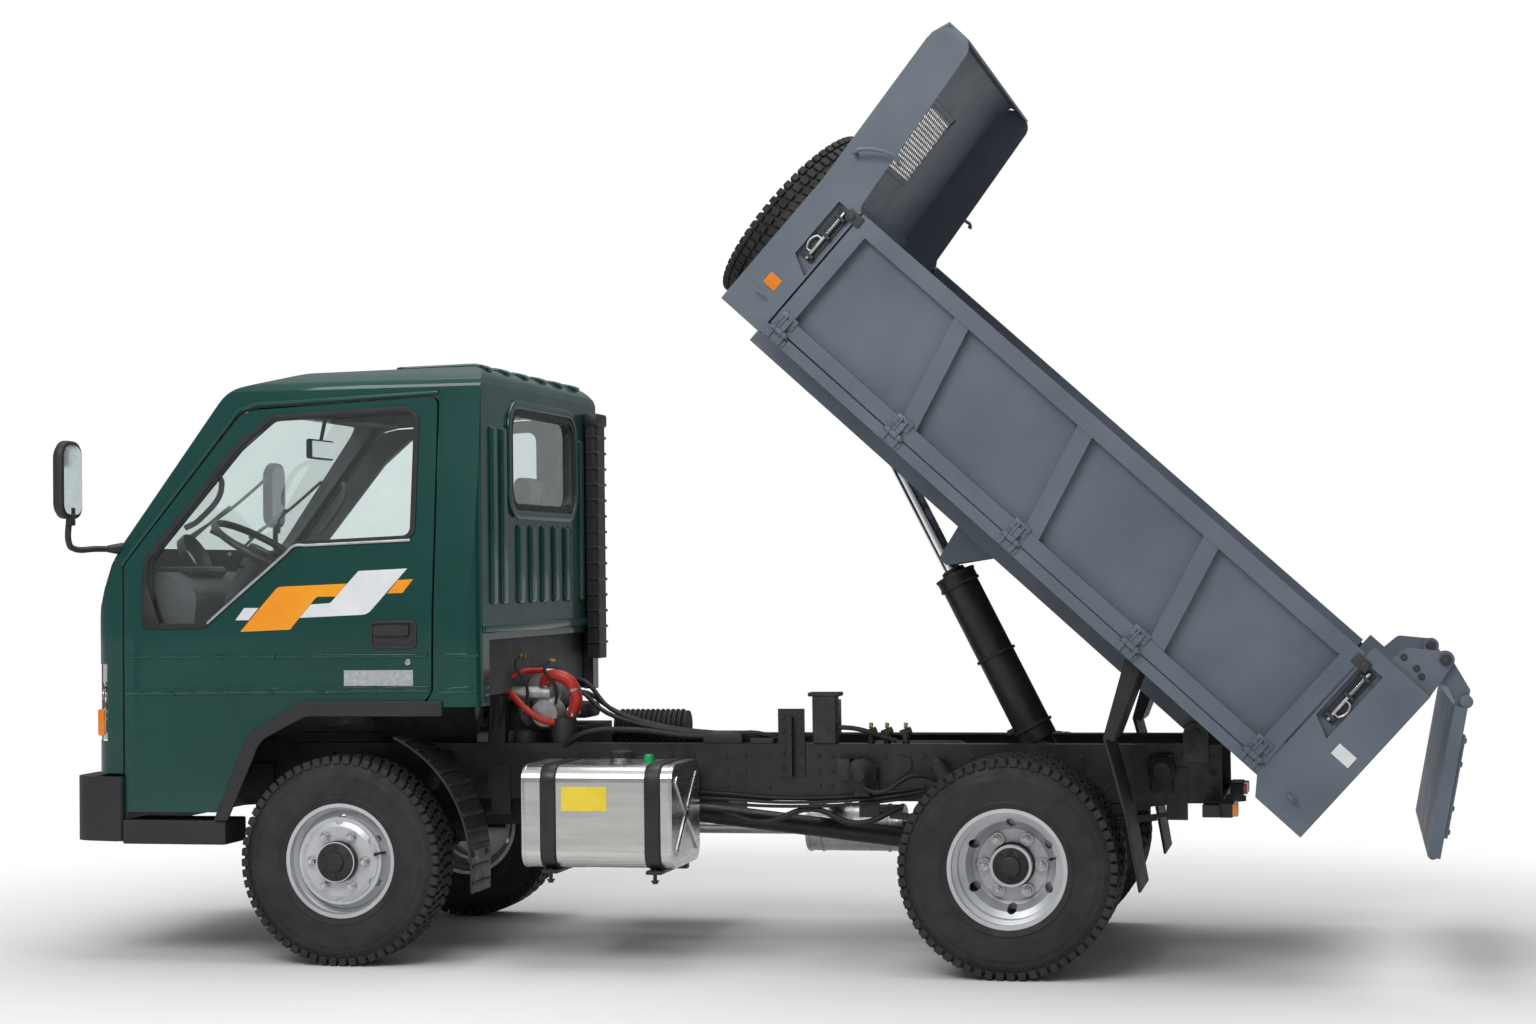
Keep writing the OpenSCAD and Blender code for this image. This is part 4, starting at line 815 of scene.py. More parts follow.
# %% Window seals and gutters
WINDOW = [(-0.745, 1.262, 0.02), (-0.53, 1.262, 0.06), (-0.17, 1.562, 0.05), (0.28, 1.578, 0.03),
          (0.29, 2.032, 0.04), (-0.27, 2.012, 0.05), (-0.4, 1.905, 0.04), (-0.745, 1.5, 0.02)]
DOOR_TOP = [(-0.862, 1.485), (-0.405, 2.052), (-0.33, 2.075), (0.385, 2.102)]
SCREEN = [(-0.7, 1.545, 0.05), (0.7, 1.545, 0.05), (0.665, 2.07, 0.06), (-0.665, 2.07, 0.06)]
REAR_PANE = [(-0.39, 1.7, 0.06), (0.39, 1.7, 0.06), (0.39, 2.035, 0.06), (-0.39, 2.035, 0.06)]
CAB_REAR = 0.545
for side, sign in (("left", -1), ("right", 1)):
    pane = rounded(WINDOW)
    seal = Part()
    drape(seal, side, offset(pane, 0.022), offset(pane, 0.001), lift=-0.006, thick=0.011, edge=0.002)
    corner = rounded([(-0.775, 1.245, 0.015), (-0.7, 1.245, 0.02), (-0.7, 1.556, 0.01),
        (-0.775, 1.47, 0.02)])
    drape(seal, side, corner, lift=-0.003, thick=0.011, edge=0.002)
    seal.done(f"window_seal_{side}", f"door_{side}", "rubber", RUBBER)
    rest = Part()
    rest.pipe(trace(side, along([(-0.51, 1.262), (-0.17, 1.545), (0.285, 1.56)], 0.05), 0.004), 0.006)
    rest.done(f"sill_trim_{side}", f"door_{side}", "rubber", STEEL)
    gutter = Part()
    gutter.pipe(trace(side, along(DOOR_TOP, 0.05), 0.002), 0.008)
    gutter.pipe(trace(side, along([(0.395, 2.1), (0.405, 0.985)], 0.08), -0.004), 0.005)
    gutter.done(f"drip_rail_{side}", "cab", "cab_green", CAB_GREEN)

glazing = Part()
screen = rounded(SCREEN)
drape(glazing, "front", offset(screen, 0.03), offset(screen, 0.003), lift=-0.006, thick=0.012, edge=0.002)
back = rounded(REAR_PANE)
drape(glazing, "rear", offset(back, 0.022), offset(back, 0.001), lift=-0.005, thick=0.014, edge=0.003)
glazing.done("screen_seals", "cab", "rubber", RUBBER)

# %% [markdown]
# ## Pressed lines of the panels
#
# A crease stiffens a flat panel. Two run the length of the cab's side, one
# under the door handle and one lower, and the rear wall has a raised frame
# round its window, upright ribs below it, and ribs across the back of the roof.

# %% Creases and ribs
def crease(part, side, line, width, thick):
    top = [(u, v + width / 2) for u, v in along(line, 0.1)]
    low = [(u, v - width / 2) for u, v in along(line, 0.1)]
    drape(part, side, [Vector(p) for p in top + low[::-1]], lift=-0.001, thick=thick,
        edge=min(width, thick) * 0.45)

for side, sign in (("left", -1), ("right", 1)):
    for name, body, start, end in ((f"door_{side}", f"door_{side}", -0.845, 0.355),
        ("cab", "cab", 0.395, 0.54)):
        folds = Part()
        crease(folds, side, [(start, 1.139), (end, 1.137)], 0.012, 0.005)
        crease(folds, side, [(start, 1.006), (min(end, 0.53), 1.016)], 0.022, 0.006)
        folds.done(f"creases_{name}_{side}", body, "cab_green", CAB_GREEN)

pressings = Part()
drape(pressings, "rear", offset(back, 0.06), offset(back, 0.026), lift=-0.002, thick=0.014, edge=0.005)
for y in (-0.62, -0.5) + tuple(-0.3 + 0.15 * i for i in range(5)) + (0.5, 0.62):
    if abs(y) < 0.45:
        pressings.block((CAB_REAR - 0.006, y - 0.036, 1.32), (CAB_REAR + 0.012, y + 0.036, 1.62), 0.011, 3)
    else:
        pressings.block((CAB_REAR - 0.006, y - 0.03, 1.32), (CAB_REAR + 0.012, y + 0.03, 1.98), 0.011, 3)
pressings.block((CAB_REAR - 0.01, -0.74, 1.215), (CAB_REAR + 0.01, 0.74, 1.25), 0.008, 3)
for y in (-0.56, -0.34, -0.115, 0.115, 0.34, 0.56):
    rib = [Vector((x, y + w)) for x, w in ((0.16, -0.045), (0.52, -0.05), (0.52, 0.05), (0.16, 0.045))]
    drape(pressings, "top", rounded([(*p, 0.03) for p in rib], 3), lift=-0.002, thick=0.014, edge=0.006)
pressings.done("rear_pressings", "cab", "cab_green", CAB_GREEN)

# %% [markdown]
# ## Door furniture and stripes
#
# The pull handle sits in a black cup, with the key barrel below it and a blank
# silver label under that. Two bright stripes cross the door: each is a lean
# Z-shaped blade with a small blade beside it, cut from thin film.

# %% Handles, locks, labels and stripes
BLADES = {
    "orange": ([(-0.379, 1.229, 0), (-0.232, 1.394, 0.03), (0.039, 1.403, 0), (0.0, 1.356, 0),
        (-0.078, 1.356, 0.02), (-0.182, 1.236, 0)],
               [(0.238, 1.414, 0), (0.297, 1.417, 0), (0.257, 1.367, 0), (0.197, 1.365, 0)]),
    "white": ([(0.084, 1.449, 0), (0.273, 1.456, 0), (0.122, 1.289, 0.05), (-0.144, 1.279, 0),
        (-0.1, 1.328, 0), (-0.024, 1.332, 0.02)],
              [(-0.398, 1.272, 0), (-0.364, 1.317, 0), (-0.306, 1.317, 0), (-0.346, 1.272, 0)])}
for side, sign in (("left", -1), ("right", 1)):
    body = f"door_{side}"
    for colour, paint in (("orange", ORANGE_MARK), ("white", WHITE_MARK)):
        film = Part()
        for blade in BLADES[colour]:
            drape(film, side, rounded(blade, 4), lift=0.0, thick=0.0012)
        film.done(f"{colour}_stripes_{side}", body, "cab_green", paint)
    cup = Part()
    rim = rounded([(0.13, 1.163, 0.02), (0.312, 1.163, 0.02), (0.312, 1.266, 0.02), (0.13, 1.266, 0.02)])
    drape(cup, side, rim, offset(rim, -0.012), lift=-0.002, thick=0.008, edge=0.0025)
    drape(cup, side, offset(rim, -0.01), lift=-0.002, thick=0.003)
    paddle = rounded([(0.145, 1.21, 0.012), (0.285, 1.21, 0.012), (0.285, 1.252, 0.012),
        (0.145, 1.252, 0.012)])
    drape(cup, side, paddle, lift=0.002, thick=0.012, edge=0.004)
    cup.done(f"handle_{side}", body, "black_plastic", PLASTIC)
    metal = Part()
    y = sign * 0.8
    metal.bar((0.277, y - sign * 0.002, 1.114), (0.277, y + sign * 0.005, 1.114), 0.013, 0.011, edge=0.001)
    metal.block((0.2755, y + min(0, sign * 0.0055), 1.108), (0.2785, y + max(0, sign * 0.0055), 1.12))
    metal.done(f"lock_{side}", body, "wheel_silver", STEEL)
    tag = Part()
    drape(tag, side, [Vector(p) for p in ((0.028, 1.028), (0.296, 1.028), (0.296, 1.085),
        (0.028, 1.085))], thick=0.001)
    tag.done(f"blank_label_{side}", body, "wheel_silver", LABEL)

# %% [markdown]
# ## The cab's front
#
# A black grille with slats lies low on the front, under it the lamps. Each lamp
# has a bright bowl with a bulb behind the clear lens, and an amber lamp at its
# corner. Two wipers rest along the foot of the screen.

# %% Grille, lamps and wipers
face = Part()
grille = rounded([(-0.46, 0.86, 0.04), (0.46, 0.86, 0.04), (0.46, 1.06, 0.04), (-0.46, 1.06, 0.04)])
drape(face, "front", grille, offset(grille, -0.02), lift=-0.004, thick=0.016, edge=0.004)
for z in (0.893, 0.93, 0.967, 1.004):
    slat = [Vector(p) for p in along([(-0.445, z), (0.445, z)], 0.12)]
    drape(face, "front", slat + [Vector((p.x, p.y + 0.02)) for p in slat[::-1]], lift=0.0, thick=0.012,
        edge=0.003)
drape(face, "front", [Vector(p) for p in along([(-0.62, 1.49), (0.62, 1.49)],
    0.1)] + [Vector(p) for p in along([(0.62, 1.515), (-0.62, 1.515)], 0.1)],
      lift=-0.002, thick=0.008, edge=0.002)
face.done("grille", "cab", "black_plastic", PLASTIC)
behind = Part()
drape(behind, "front", offset(grille, -0.018), lift=-0.003, thick=0.004)
behind.done("grille_mesh", "cab", "black_plastic", RUBBER)

bowls, bulbs, corners = Part(), Part(), Part()
for sign in (-1, 1):
    for y, z, r in ((0.6, 0.985, 0.058), (0.6, 0.885, 0.045), (0.705, 0.985, 0.04)):
        x = -1.005 + max(0, y - 0.6) * 0.5
        lamp = Matrix.Translation((x, sign * y, z)) @ Matrix.Rotation(radians(-90), 4, "Y")
        bowls.lathe([(r, 0.0), (r * 0.95, -0.012), (r * 0.6, -0.036), (0.012, -0.045), (0, -0.045),
                     (0, -0.05), (r * 0.65, -0.04), (r + 0.003, -0.012), (r + 0.004, 0.0)], lamp, steps=32)
        bulbs.lathe([(0, 0.0), (0.009, -0.004), (0.01, -0.02), (0.006, -0.046), (0, -0.046)], lamp,
            steps=16)
    corners.block((-0.985, sign * 0.735 - 0.012, 0.84), (-0.955, sign * 0.735 + 0.012, 0.94), 0.006, 2)
bowls.done("lamp_bowls", "cab", "rod_chrome", CHROME)
bulbs.done("lamp_bulbs", "cab", "lamp_clear", WHITE_MARK)
corners.done("corner_lamps", "cab", "lamp_clear", AMBER)

GLASS_SKIN = surface_of("cab_glass", "cab_shell", "front_panel")

def on_screen(y, z, lift):
    return dropped("front", y, z, lift, GLASS_SKIN)

wipers = Part()
for foot, tip in ((-0.28, -0.06), (0.28, 0.5)):
    base = on_screen(foot, 1.5, 0.012)
    end = on_screen(tip, 1.72, 0.03)
    wipers.bar(base - Vector((0.01, 0, 0)), base + Vector((0.012, 0, 0)), 0.018)
    wipers.pipe([base, on_screen((foot + tip) / 2, 1.62, 0.03), end], 0.006)
    wipers.pipe([on_screen(tip - 0.2, 1.6, 0.016), on_screen(tip, 1.71, 0.018),
        on_screen(tip + 0.14, 1.84, 0.016)], 0.0065)
wipers.done("wipers", "cab", "black_plastic", PLASTIC)

# %% Bumper lamps and plate
nose = Part()
BUMP_X = (TRUCK.inverted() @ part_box("front_bumper")[0]).x
nose.block((BUMP_X - 0.006, -0.24, 0.5), (BUMP_X + 0.012, 0.24, 0.61), 0.005, 2)
nose.done("number_plate", "cab", "black_plastic", YELLOW)
fog = Part()
for sign in (-1, 1):
    lamp = Matrix.Translation((BUMP_X - 0.002 + 0.013, sign * 0.52, 0.57)) @ Matrix.Rotation(radians(-90),
        4, "Y")
    fog.lathe([(0, 0.014), (0.03, 0.012), (0.045, 0.004), (0.047, -0.02), (0, -0.02)], lamp, steps=32)
fog.done("fog_lamps", "cab", "lamp_clear", LABEL)

# %% [markdown]
# ## The tipping bed
#
# The bed is drawn lying flat: along the bed from its pivot, across, and up.
# Its gates and posts are folded and welded sheet, so their copies get a small
# bend radius. Hinge straps, latches, hooks and the window's steel mesh are
# added on top.

# %% Eased bed panels
PAINTED_GREY = {"bed_floor": 0.003, "headboard": 0.004, "rear_posts": 0.004, "side_gate_left": 0.004,
                "side_gate_right": 0.004, "tailgate": 0.003}
for name, width in PAINTED_GREY.items():
    eased(name, width, BED_GREY)
eased("bed_mudguards", 0.003, RUBBER)

# %% Sizes of the bed, read from its gates
def in_bed(node):
    inverse = BED.inverted()
    spots = [inverse @ v.co for v in frame["nodes"][node].data.vertices]
    return (Vector([min(p[i] for p in spots) for i in range(3)]),
        Vector([max(p[i] for p in spots) for i in range(3)]))

gate_low, gate_high = in_bed("side_gate_left")
head_high = in_bed("headboard")[1]
BED_SIDE = head_high.y
GATE_TOP = gate_high.z
GATE_FRONT, GATE_REAR = gate_low.x - 0.008, gate_high.x + 0.008
LATCH_DEEP = 0.026
HINGES = [GATE_FRONT + 0.055 + i * (GATE_REAR - GATE_FRONT - 0.11) / 4 for i in range(5)]
SILL_LOW, SILL_HIGH = 0.08, 0.12
print("gate from", round(GATE_FRONT, 3), "to", round(GATE_REAR, 3), "top", round(GATE_TOP, 3))

# %% [markdown]
# ### Hinges and latches
#
# Each side gate turns on five pins. A folded strap is bolted to the gate over
# every pin. At each end of the gate, a spring rod with a grip slides in the
# post's slot, and its tip holds the gate's top corner.

# %% Hinge straps and latch rods
for side, sign in (("left", -1), ("right", 1)):
    def at(a, y, u):
        return (a, sign * y, u)
    straps = Part(BED)
    for a in HINGES:
        for end in (-1, 1):
            straps.block(at(a + end * 0.011 - 0.004, BED_SIDE - 0.002, SILL_HIGH + 0.012),
                at(a + end * 0.011 + 0.004, BED_SIDE + 0.016, SILL_HIGH + 0.065), 0.0015)
        straps.block(at(a - 0.034, BED_SIDE - 0.002, SILL_HIGH + 0.03),
            at(a + 0.034, BED_SIDE + 0.006, SILL_HIGH + 0.072), 0.0025, 2)
        for end in (-0.024, 0.024):
            straps.bolt(at(a + end, BED_SIDE + 0.006, SILL_HIGH + 0.052), (0, sign, 0), 0.006, 0.004)
    straps.done(f"hinge_straps_{side}", f"side_gate_{side}", "bed_grey", BED_GREY)
    lugs = Part(BED)
    for a in HINGES:
        lugs.block(at(a - 0.045, BED_SIDE - 0.003, SILL_LOW + 0.004),
            at(a + 0.045, BED_SIDE + 0.005, SILL_HIGH - 0.008), 0.002)
        for end in (-1, 1):
            lugs.bar(at(a + end * 0.031, BED_SIDE + 0.012, SILL_HIGH + 0.003),
                at(a + end * 0.038, BED_SIDE + 0.012, SILL_HIGH + 0.003), 0.009, 0.007, 6)
    lugs.done(f"hinge_feet_{side}", "bed", "bed_grey", BED_GREY)
    rods, boxes = Part(BED), Part(BED)
    for a0, inner in ((GATE_FRONT - 0.048, 1), (GATE_REAR + 0.048, -1)):
        y = BED_SIDE - LATCH_DEEP * 0.45
        low, high = GATE_TOP - 0.25, GATE_TOP - 0.04
        rods.bar(at(a0, y, low), at(a0, y, high), 0.007, edge=0.001)
        rods.pipe([at(a0, y, low + 0.03), at(a0 - 0.022 * inner, y, low + 0.032),
            at(a0 - 0.024 * inner, y, low + 0.085), at(a0, y, low + 0.09)], 0.005)
        for k in range(9):
            rods.lathe([(0.0085, -0.0022), (0.0115, 0.0), (0.0085, 0.0022)],
                Matrix.Translation(at(a0, y, low + 0.115 + k * 0.0075)), steps=16)
        for u in (low + 0.01, low + 0.1, high - 0.03):
            boxes.block(at(a0 - 0.02, BED_SIDE - LATCH_DEEP - 0.001, u),
                at(a0 + 0.02, BED_SIDE - 0.003, u + 0.012), 0.0015)
        boxes.block(at(a0 - 0.024, BED_SIDE - LATCH_DEEP - 0.001, low - 0.004),
            at(a0 + 0.024, BED_SIDE - LATCH_DEEP + 0.004, high + 0.006), 0.001)
        boxes.block(at(a0 + inner * 0.012, BED_SIDE - 0.001, GATE_TOP - 0.052),
            at(a0 + inner * 0.075, BED_SIDE + 0.007, GATE_TOP - 0.012), 0.003, 2)
        boxes.bar(at(a0 + inner * 0.03, BED_SIDE + 0.003, GATE_TOP - 0.032),
            at(a0 + inner * 0.03, BED_SIDE + 0.016, GATE_TOP - 0.032), 0.014, edge=0.002)
    rods.done(f"latch_rods_{side}", "bed", "wheel_silver", STEEL)
    # The latch boxes take the near-black copy of the bed grey as painted shade down the post's slot.
    boxes.done(f"latch_boxes_{side}", "bed", "bed_grey", BED_GREY_PAINTED_SHADE)

# %% [markdown]
# ### Hooks, grab loops, reflectors and the window's mesh

# %% Small parts of the posts and the headboard
for side, sign in (("left", -1), ("right", 1)):
    def at(a, y, u):
        return (a, sign * y, u)
    bits = Part(BED)
    bits.pipe([at(-2.165, BED_SIDE - 0.004, 0.18), at(-2.165, BED_SIDE + 0.02, 0.18),
        at(-2.145, BED_SIDE + 0.024, 0.182), at(-2.13, BED_SIDE + 0.022, 0.18)], 0.005)
    bits.pipe([at(-2.215, BED_SIDE - 0.003, 0.77), at(-2.215, BED_SIDE + 0.035, 0.77),
        at(-2.205, BED_SIDE + 0.04, 0.79),
               at(-2.09, BED_SIDE + 0.04, 0.848), at(-2.075, BED_SIDE + 0.035, 0.84), at(-2.072,
                   BED_SIDE - 0.003, 0.838)], 0.007)
    bits.pipe([at(0.36, BED_SIDE - 0.004, 0.1), at(0.36, BED_SIDE + 0.02, 0.1),
        at(0.39, BED_SIDE + 0.022, 0.1), at(0.39, BED_SIDE - 0.004, 0.1)], 0.005)
    bits.done(f"hooks_{side}", "bed", "bed_grey", BED_GREY)
    glow = Part(BED)
    glow.block(at(-2.172, BED_SIDE - 0.001, 0.216), at(-2.12, BED_SIDE + 0.003, 0.262), 0.001)
    glow.done(f"side_reflector_{side}", "bed", "lamp_clear", AMBER)
    glow = Part(BED)
    glow.block(at(0.37, BED_SIDE - 0.001, 0.3), at(0.445, BED_SIDE + 0.003, 0.345), 0.001)
    glow.done(f"rear_reflector_{side}", "bed", "lamp_clear", WHITE_MARK)

mesh_wall = Part(BED)
low_u, high_u, half = GATE_TOP + 0.175, GATE_TOP + 0.475, 0.245
def lean_at(u):
    return -2.25 - 0.045 * (u - GATE_TOP) / 0.63 + 0.004
pitch = 0.034
count = int((2 * half + (high_u - low_u)) / pitch)
for i in range(count):
    for way in (-1, 1):
        start = -half - (high_u - low_u) + (i + 1) * pitch
        y0, y1 = max(start, -half), min(start + (high_u - low_u), half)
        u0, u1 = low_u + (y0 - start), low_u + (y1 - start)
        if y1 - y0 > 0.01:
            mesh_wall.bar((lean_at(u0), way * y0, u0), (lean_at(u1), way * y1, u1), 0.0028, sides=6)
mesh_wall.done("window_mesh", "bed", "pipe_steel", ALLOY)
rim = Part(BED)
for sign in (-1, 1):
    rim.block((lean_at(low_u) - 0.012, sign * half - 0.012, low_u - 0.01),
        (lean_at(high_u) + 0.014, sign * half + 0.012, high_u + 0.01), 0.002)
for u in (low_u, high_u):
    rim.block((lean_at(u) - 0.008, -half - 0.012, u - 0.012),
        (lean_at(u) + 0.008, half + 0.012, u + 0.012), 0.002)
rim.done("window_mesh_frame", "bed", "bed_grey", BED_GREY)

# %% [markdown]
# ### Tailgate fittings
#
# The tailgate hangs from two arms. A big headed pin shows at each pivot, and a
# hook at the foot of the gate takes the lock when the bed is down.

# %% Arms, pins and lock
PIVOT_A, PIVOT_U = 0.44, 0.785
gate = Part(TAIL)
for sign in (-1, 1):
    gate.bar((0.53, sign * 0.795, 0.66), (0.53, sign * 0.84, 0.66), 0.022, edge=0.003)
    gate.block((0.536, sign * 0.81 - 0.03, 0.2), (0.548, sign * 0.81 + 0.03, 0.55), 0.003)
    for u in (0.22, 0.3, 0.45, 0.53):
        gate.bolt((0.548, sign * 0.81, u), (1, 0, 0), 0.009, 0.006)
    gate.bar((0.515, sign * 0.7, 0.13), (0.515, sign * 0.76, 0.13), 0.016, edge=0.002)
gate.block((0.5, -0.03, 0.118), (0.54, 0.03, 0.14), 0.004)
gate.done("tailgate_fittings", "tailgate", "bed_grey", BED_GREY)
pins = Part(BED)
for sign in (-1, 1):
    for y in (BED_SIDE - 0.068, BED_SIDE - 0.02):
        pins.bar((PIVOT_A, sign * y, PIVOT_U), (PIVOT_A, sign * (y + 0.012), PIVOT_U), 0.02, edge=0.003)
    pins.bolt((PIVOT_A, sign * (BED_SIDE - 0.008), PIVOT_U), (0, sign, 0), 0.012, 0.008)
    for a, u in ((0.335, 0.7), (0.39, 0.7), (0.42, 0.69)):
        pins.bolt((a, sign * (BED_SIDE - 0.022), u), (0, sign, 0), 0.009, 0.006)
# The pivot pins and bolts take the near-black copy of the bed grey as painted shade.
pins.done("tailgate_pins", "bed", "bed_grey", BED_GREY_PAINTED_SHADE)

# %% [markdown]
# ## Chassis
#
# The rails are folded channels, with rows of bolt heads where brackets are
# fixed. Springs are clamped to the axles with U-bolts, and pipes and hoses run
# along the rails to the air valves, the tank and the brakes.

# %% Eased chassis parts
for name, width in {"chassis_rail_left": 0.003, "chassis_rail_right": 0.003, "cross_member_front": 0.003,
                    "cross_member_engine": 0.003, "cross_member_gearbox": 0.004, "cross_member_middle": 0.003,
                    "cross_member_hoist": 0.003, "cross_member_rear": 0.003, "cab_rest": 0.004,
                    "front_mudguards": 0.003}.items():
    eased(name, width, FRAME_BLACK)
RAIL_Y = 0.35

# %% Bolts along the rails
fixings = Part()
for x, rows in ((-0.45, 2), (-0.2, 2), (0.25, 2), (0.36, 3), (0.62, 3), (0.78, 2), (0.86, 2), (1.0, 2),
    (1.15, 2), (1.23, 2), (1.36, 3),
                (1.43, 3), (1.52, 2), (1.71, 3), (1.76, 3), (1.86, 3), (1.96, 2), (2.1, 2), (2.28,
                    3), (2.36, 3), (2.45, 3),
                (2.57, 3), (2.68, 2), (2.77, 2), (2.86, 3), (2.93, 3), (3.0, 3), (3.15, 3)):
    for k in range(rows):
        fixings.bolt((x, -RAIL_Y, 0.635 + 0.11 * k / max(1, rows - 1)), (0, -1, 0), 0.0085, 0.006)
for x in (1.578, 1.642):
    for z in (0.7, 0.76, 0.84, 0.89):
        fixings.bolt((x, -RAIL_Y - 0.008, z), (0, -1, 0), 0.009, 0.006)
fixings.done("rail_bolts", "root", "frame_black", CAST_BLACK, both=True)

# %% [markdown]
# ### Springs, axles and brakes

# %% Spring clamps, shackles and dampers
clamps = Part()
for x, top, width in ((0.0, 0.46, 0.05), (WHEELBASE, 0.5, 0.055)):
    y = -RAIL_Y + 0.037
    for end in (-1, 1):
        for across in (-0.034, 0.034):
            clamps.bar((x + end * width, y + across, 0.33), (x + end * width, y + across, top + 0.03),
                0.008)
            clamps.bolt((x + end * width, y + across, 0.345), (0, 0, -1), 0.012, 0.012)
    clamps.block((x - 0.075, y - 0.046, 0.342), (x + 0.075, y + 0.046, 0.352), 0.003)
    clamps.block((x - 0.07, y - 0.044, top), (x + 0.07, y + 0.044, top + 0.022), 0.005)
    for end in (-1, 1):
        clamps.block((x + end * 0.22 - 0.02, y - 0.04, 0.47), (x + end * 0.22 + 0.02, y + 0.04, 0.505),
            0.003)
damper = [(0.0, 0.0), (0.021, 0.0), (0.024, 0.01), (0.024, 0.17), (0.02, 0.175), (0.012, 0.176),
    (0.012, 0.24), (0.03, 0.241), (0.032, 0.36), (0.0, 0.362)]
for x0, x1, z1 in ((0.1, 0.27, 0.74), (WHEELBASE - 0.12, WHEELBASE - 0.3, 0.72)):
    low, high = Vector((x0, -0.42, 0.4)), Vector((x1, -0.385, z1))
    reach = (high - low).length
    clamps.lathe([(r, h * reach / 0.36) for r, h in damper],
        Matrix.Translation(low) @ (high - low).to_track_quat("Z", "Y").to_matrix().to_4x4(), steps=24)
    for end in (low, high):
        clamps.bar(end + Vector((0, -0.02, 0)), end + Vector((0, 0.03, 0)), 0.02, edge=0.003)
clamps.done("spring_clamps", "root", "frame_black", CAST_BLACK, both=True)

drive = Part()
ball = (WHEELBASE, 0.0, 0.385)
drive.lathe([(0.151, -0.012), (0.162, -0.01), (0.162, 0.01), (0.151, 0.012), (0.151, -0.012)],
            Matrix.Translation(ball) @ Matrix.Rotation(radians(90), 4, "Y"))
drive.lathe([(0, 0.14), (0.06, 0.138), (0.1, 0.118), (0.1, 0.11), (0, 0.11)],
    Matrix.Translation(ball) @ Matrix.Rotation(radians(90), 4, "Y"))
for i in range(16):
    a = 2 * pi * i / 16
    drive.bolt((WHEELBASE + 0.012, 0.156 * cos(a), 0.385 + 0.156 * sin(a)), (1, 0, 0), 0.007, 0.006)
for sign in (-1, 1):
    z = 0.47
    drive.lathe([(0, -0.06), (0.062, -0.058), (0.07, -0.045), (0.07, -0.004), (0.078, -0.002),
        (0.078, 0.008), (0.07, 0.01), (0.068, 0.045), (0.05, 0.058), (0, 0.06)],
                Matrix.Translation((WHEELBASE - 0.17, sign * 0.27, z)) @ Matrix.Rotation(radians(90), 4,
                    "X"), steps=32)
    drive.bar((WHEELBASE - 0.17, sign * 0.33, z), (WHEELBASE - 0.05, sign * 0.34, z - 0.05), 0.012)
drive.done("rear_axle_fittings", "root", "frame_black", CAST_BLACK)

shaft = Part()
for x, z in ((1.03, 0.517), (WHEELBASE - 0.3, 0.4)):
    shaft.bar((x - 0.03, 0, z), (x + 0.03, 0, z), 0.05, edge=0.006)
    shaft.bar((x, -0.058, z), (x, 0.058, z), 0.022, edge=0.003)
    shaft.bar((x, 0, z - 0.058), (x, 0, z + 0.058), 0.022, edge=0.003)
shaft.done("propshaft_joints", "root", "frame_black", CAST_BLACK)

# %% [markdown]
# ### Fuel tank
#
# The steel tank hangs in two black straps with rubber under them. Its end is
# pressed in an X, which stops the sheet from drumming.

# %% Tank straps, caps and end pressing
tank_low, tank_high = (TRUCK.inverted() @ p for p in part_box("fuel_tank"))
TANK_TOP = 0.738
def tank_ring(grow):
    y0, y1 = tank_low.y - grow, tank_high.y + grow
    z0, z1 = tank_low.z - grow, TANK_TOP + grow
    return [(y0, z0, 0.06 + grow), (y1, z0, 0.06 + grow), (y1, z1, 0.06 + grow), (y0, z1, 0.06 + grow)]
bands, pads, shine = Part(), Part(), Part()
for x in (0.8, 1.19):
    pads.plate(tank_ring(0.0015), "x", x - 0.03, x + 0.03, steps=6)
    bands.plate(tank_ring(0.004), "x", x - 0.024, x + 0.024, steps=6, edge=0.001)
    bands.block((x - 0.03, tank_high.y - 0.03, 0.33), (x + 0.03, tank_high.y + 0.004, 0.62), 0.003)
    bands.block((x - 0.03, tank_low.y + 0.01, 0.348), (x + 0.03, tank_high.y, 0.362), 0.003)
    bands.bar((x, tank_low.y + 0.03, 0.315), (x, tank_low.y + 0.03, 0.365), 0.007)
    bands.bolt((x, tank_low.y + 0.03, 0.325), (0, 0, -1), 0.011, 0.011)
bands.done("tank_straps", "root", "frame_black", FRAME_BLACK)
pads.done("tank_strap_pads", "root", "rubber", RUBBER)
for x in (tank_low.x, tank_high.x):
    shine.plate(tank_ring(0.0025), "x", x + (0.004 if x == tank_low.x else -0.012),
        x + (0.012 if x == tank_low.x else -0.004), steps=6, edge=0.0015)
    way = 1 if x == tank_high.x else -1
    for slope in (-1, 1):
        middle = Vector((x, (tank_low.y + tank_high.y) / 2, (tank_low.z + TANK_TOP) / 2))
        tilt = Matrix.Translation(middle) @ Matrix.Rotation(slope * radians(42), 4, "X")
        shine.block((-0.007, -0.2, -0.016), (0.007, 0.2, 0.016), 0.005, 2, place=tilt)
shine.done("tank_pressings", "root", "tank_steel", STAINLESS)
filler = Part()
neck = Matrix.Translation((1.03, -0.62, TANK_TOP))
filler.lathe([(0, 0.0), (0.042, 0.0), (0.042, 0.006), (0.037, 0.008), (0.037, 0.018), (0, 0.018)], neck,
    steps=32)
filler.done("filler_neck", "root", "tank_steel", STEEL)
cap = Part()
cap.lathe([(0, 0.045), (0.03, 0.045), (0.041, 0.04), (0.043, 0.034), (0.043, 0.018), (0, 0.018)], neck,
    steps=40)
for i in range(12):
    a = 2 * pi * i / 12
    cap.bar((1.03 + 0.042 * cos(a), -0.62 + 0.042 * sin(a), TANK_TOP + 0.019),
        (1.03 + 0.042 * cos(a), -0.62 + 0.042 * sin(a), TANK_TOP + 0.036), 0.004, sides=8)
cap.done("filler_cap", "root", "rubber", RUBBER)
sender = Part()
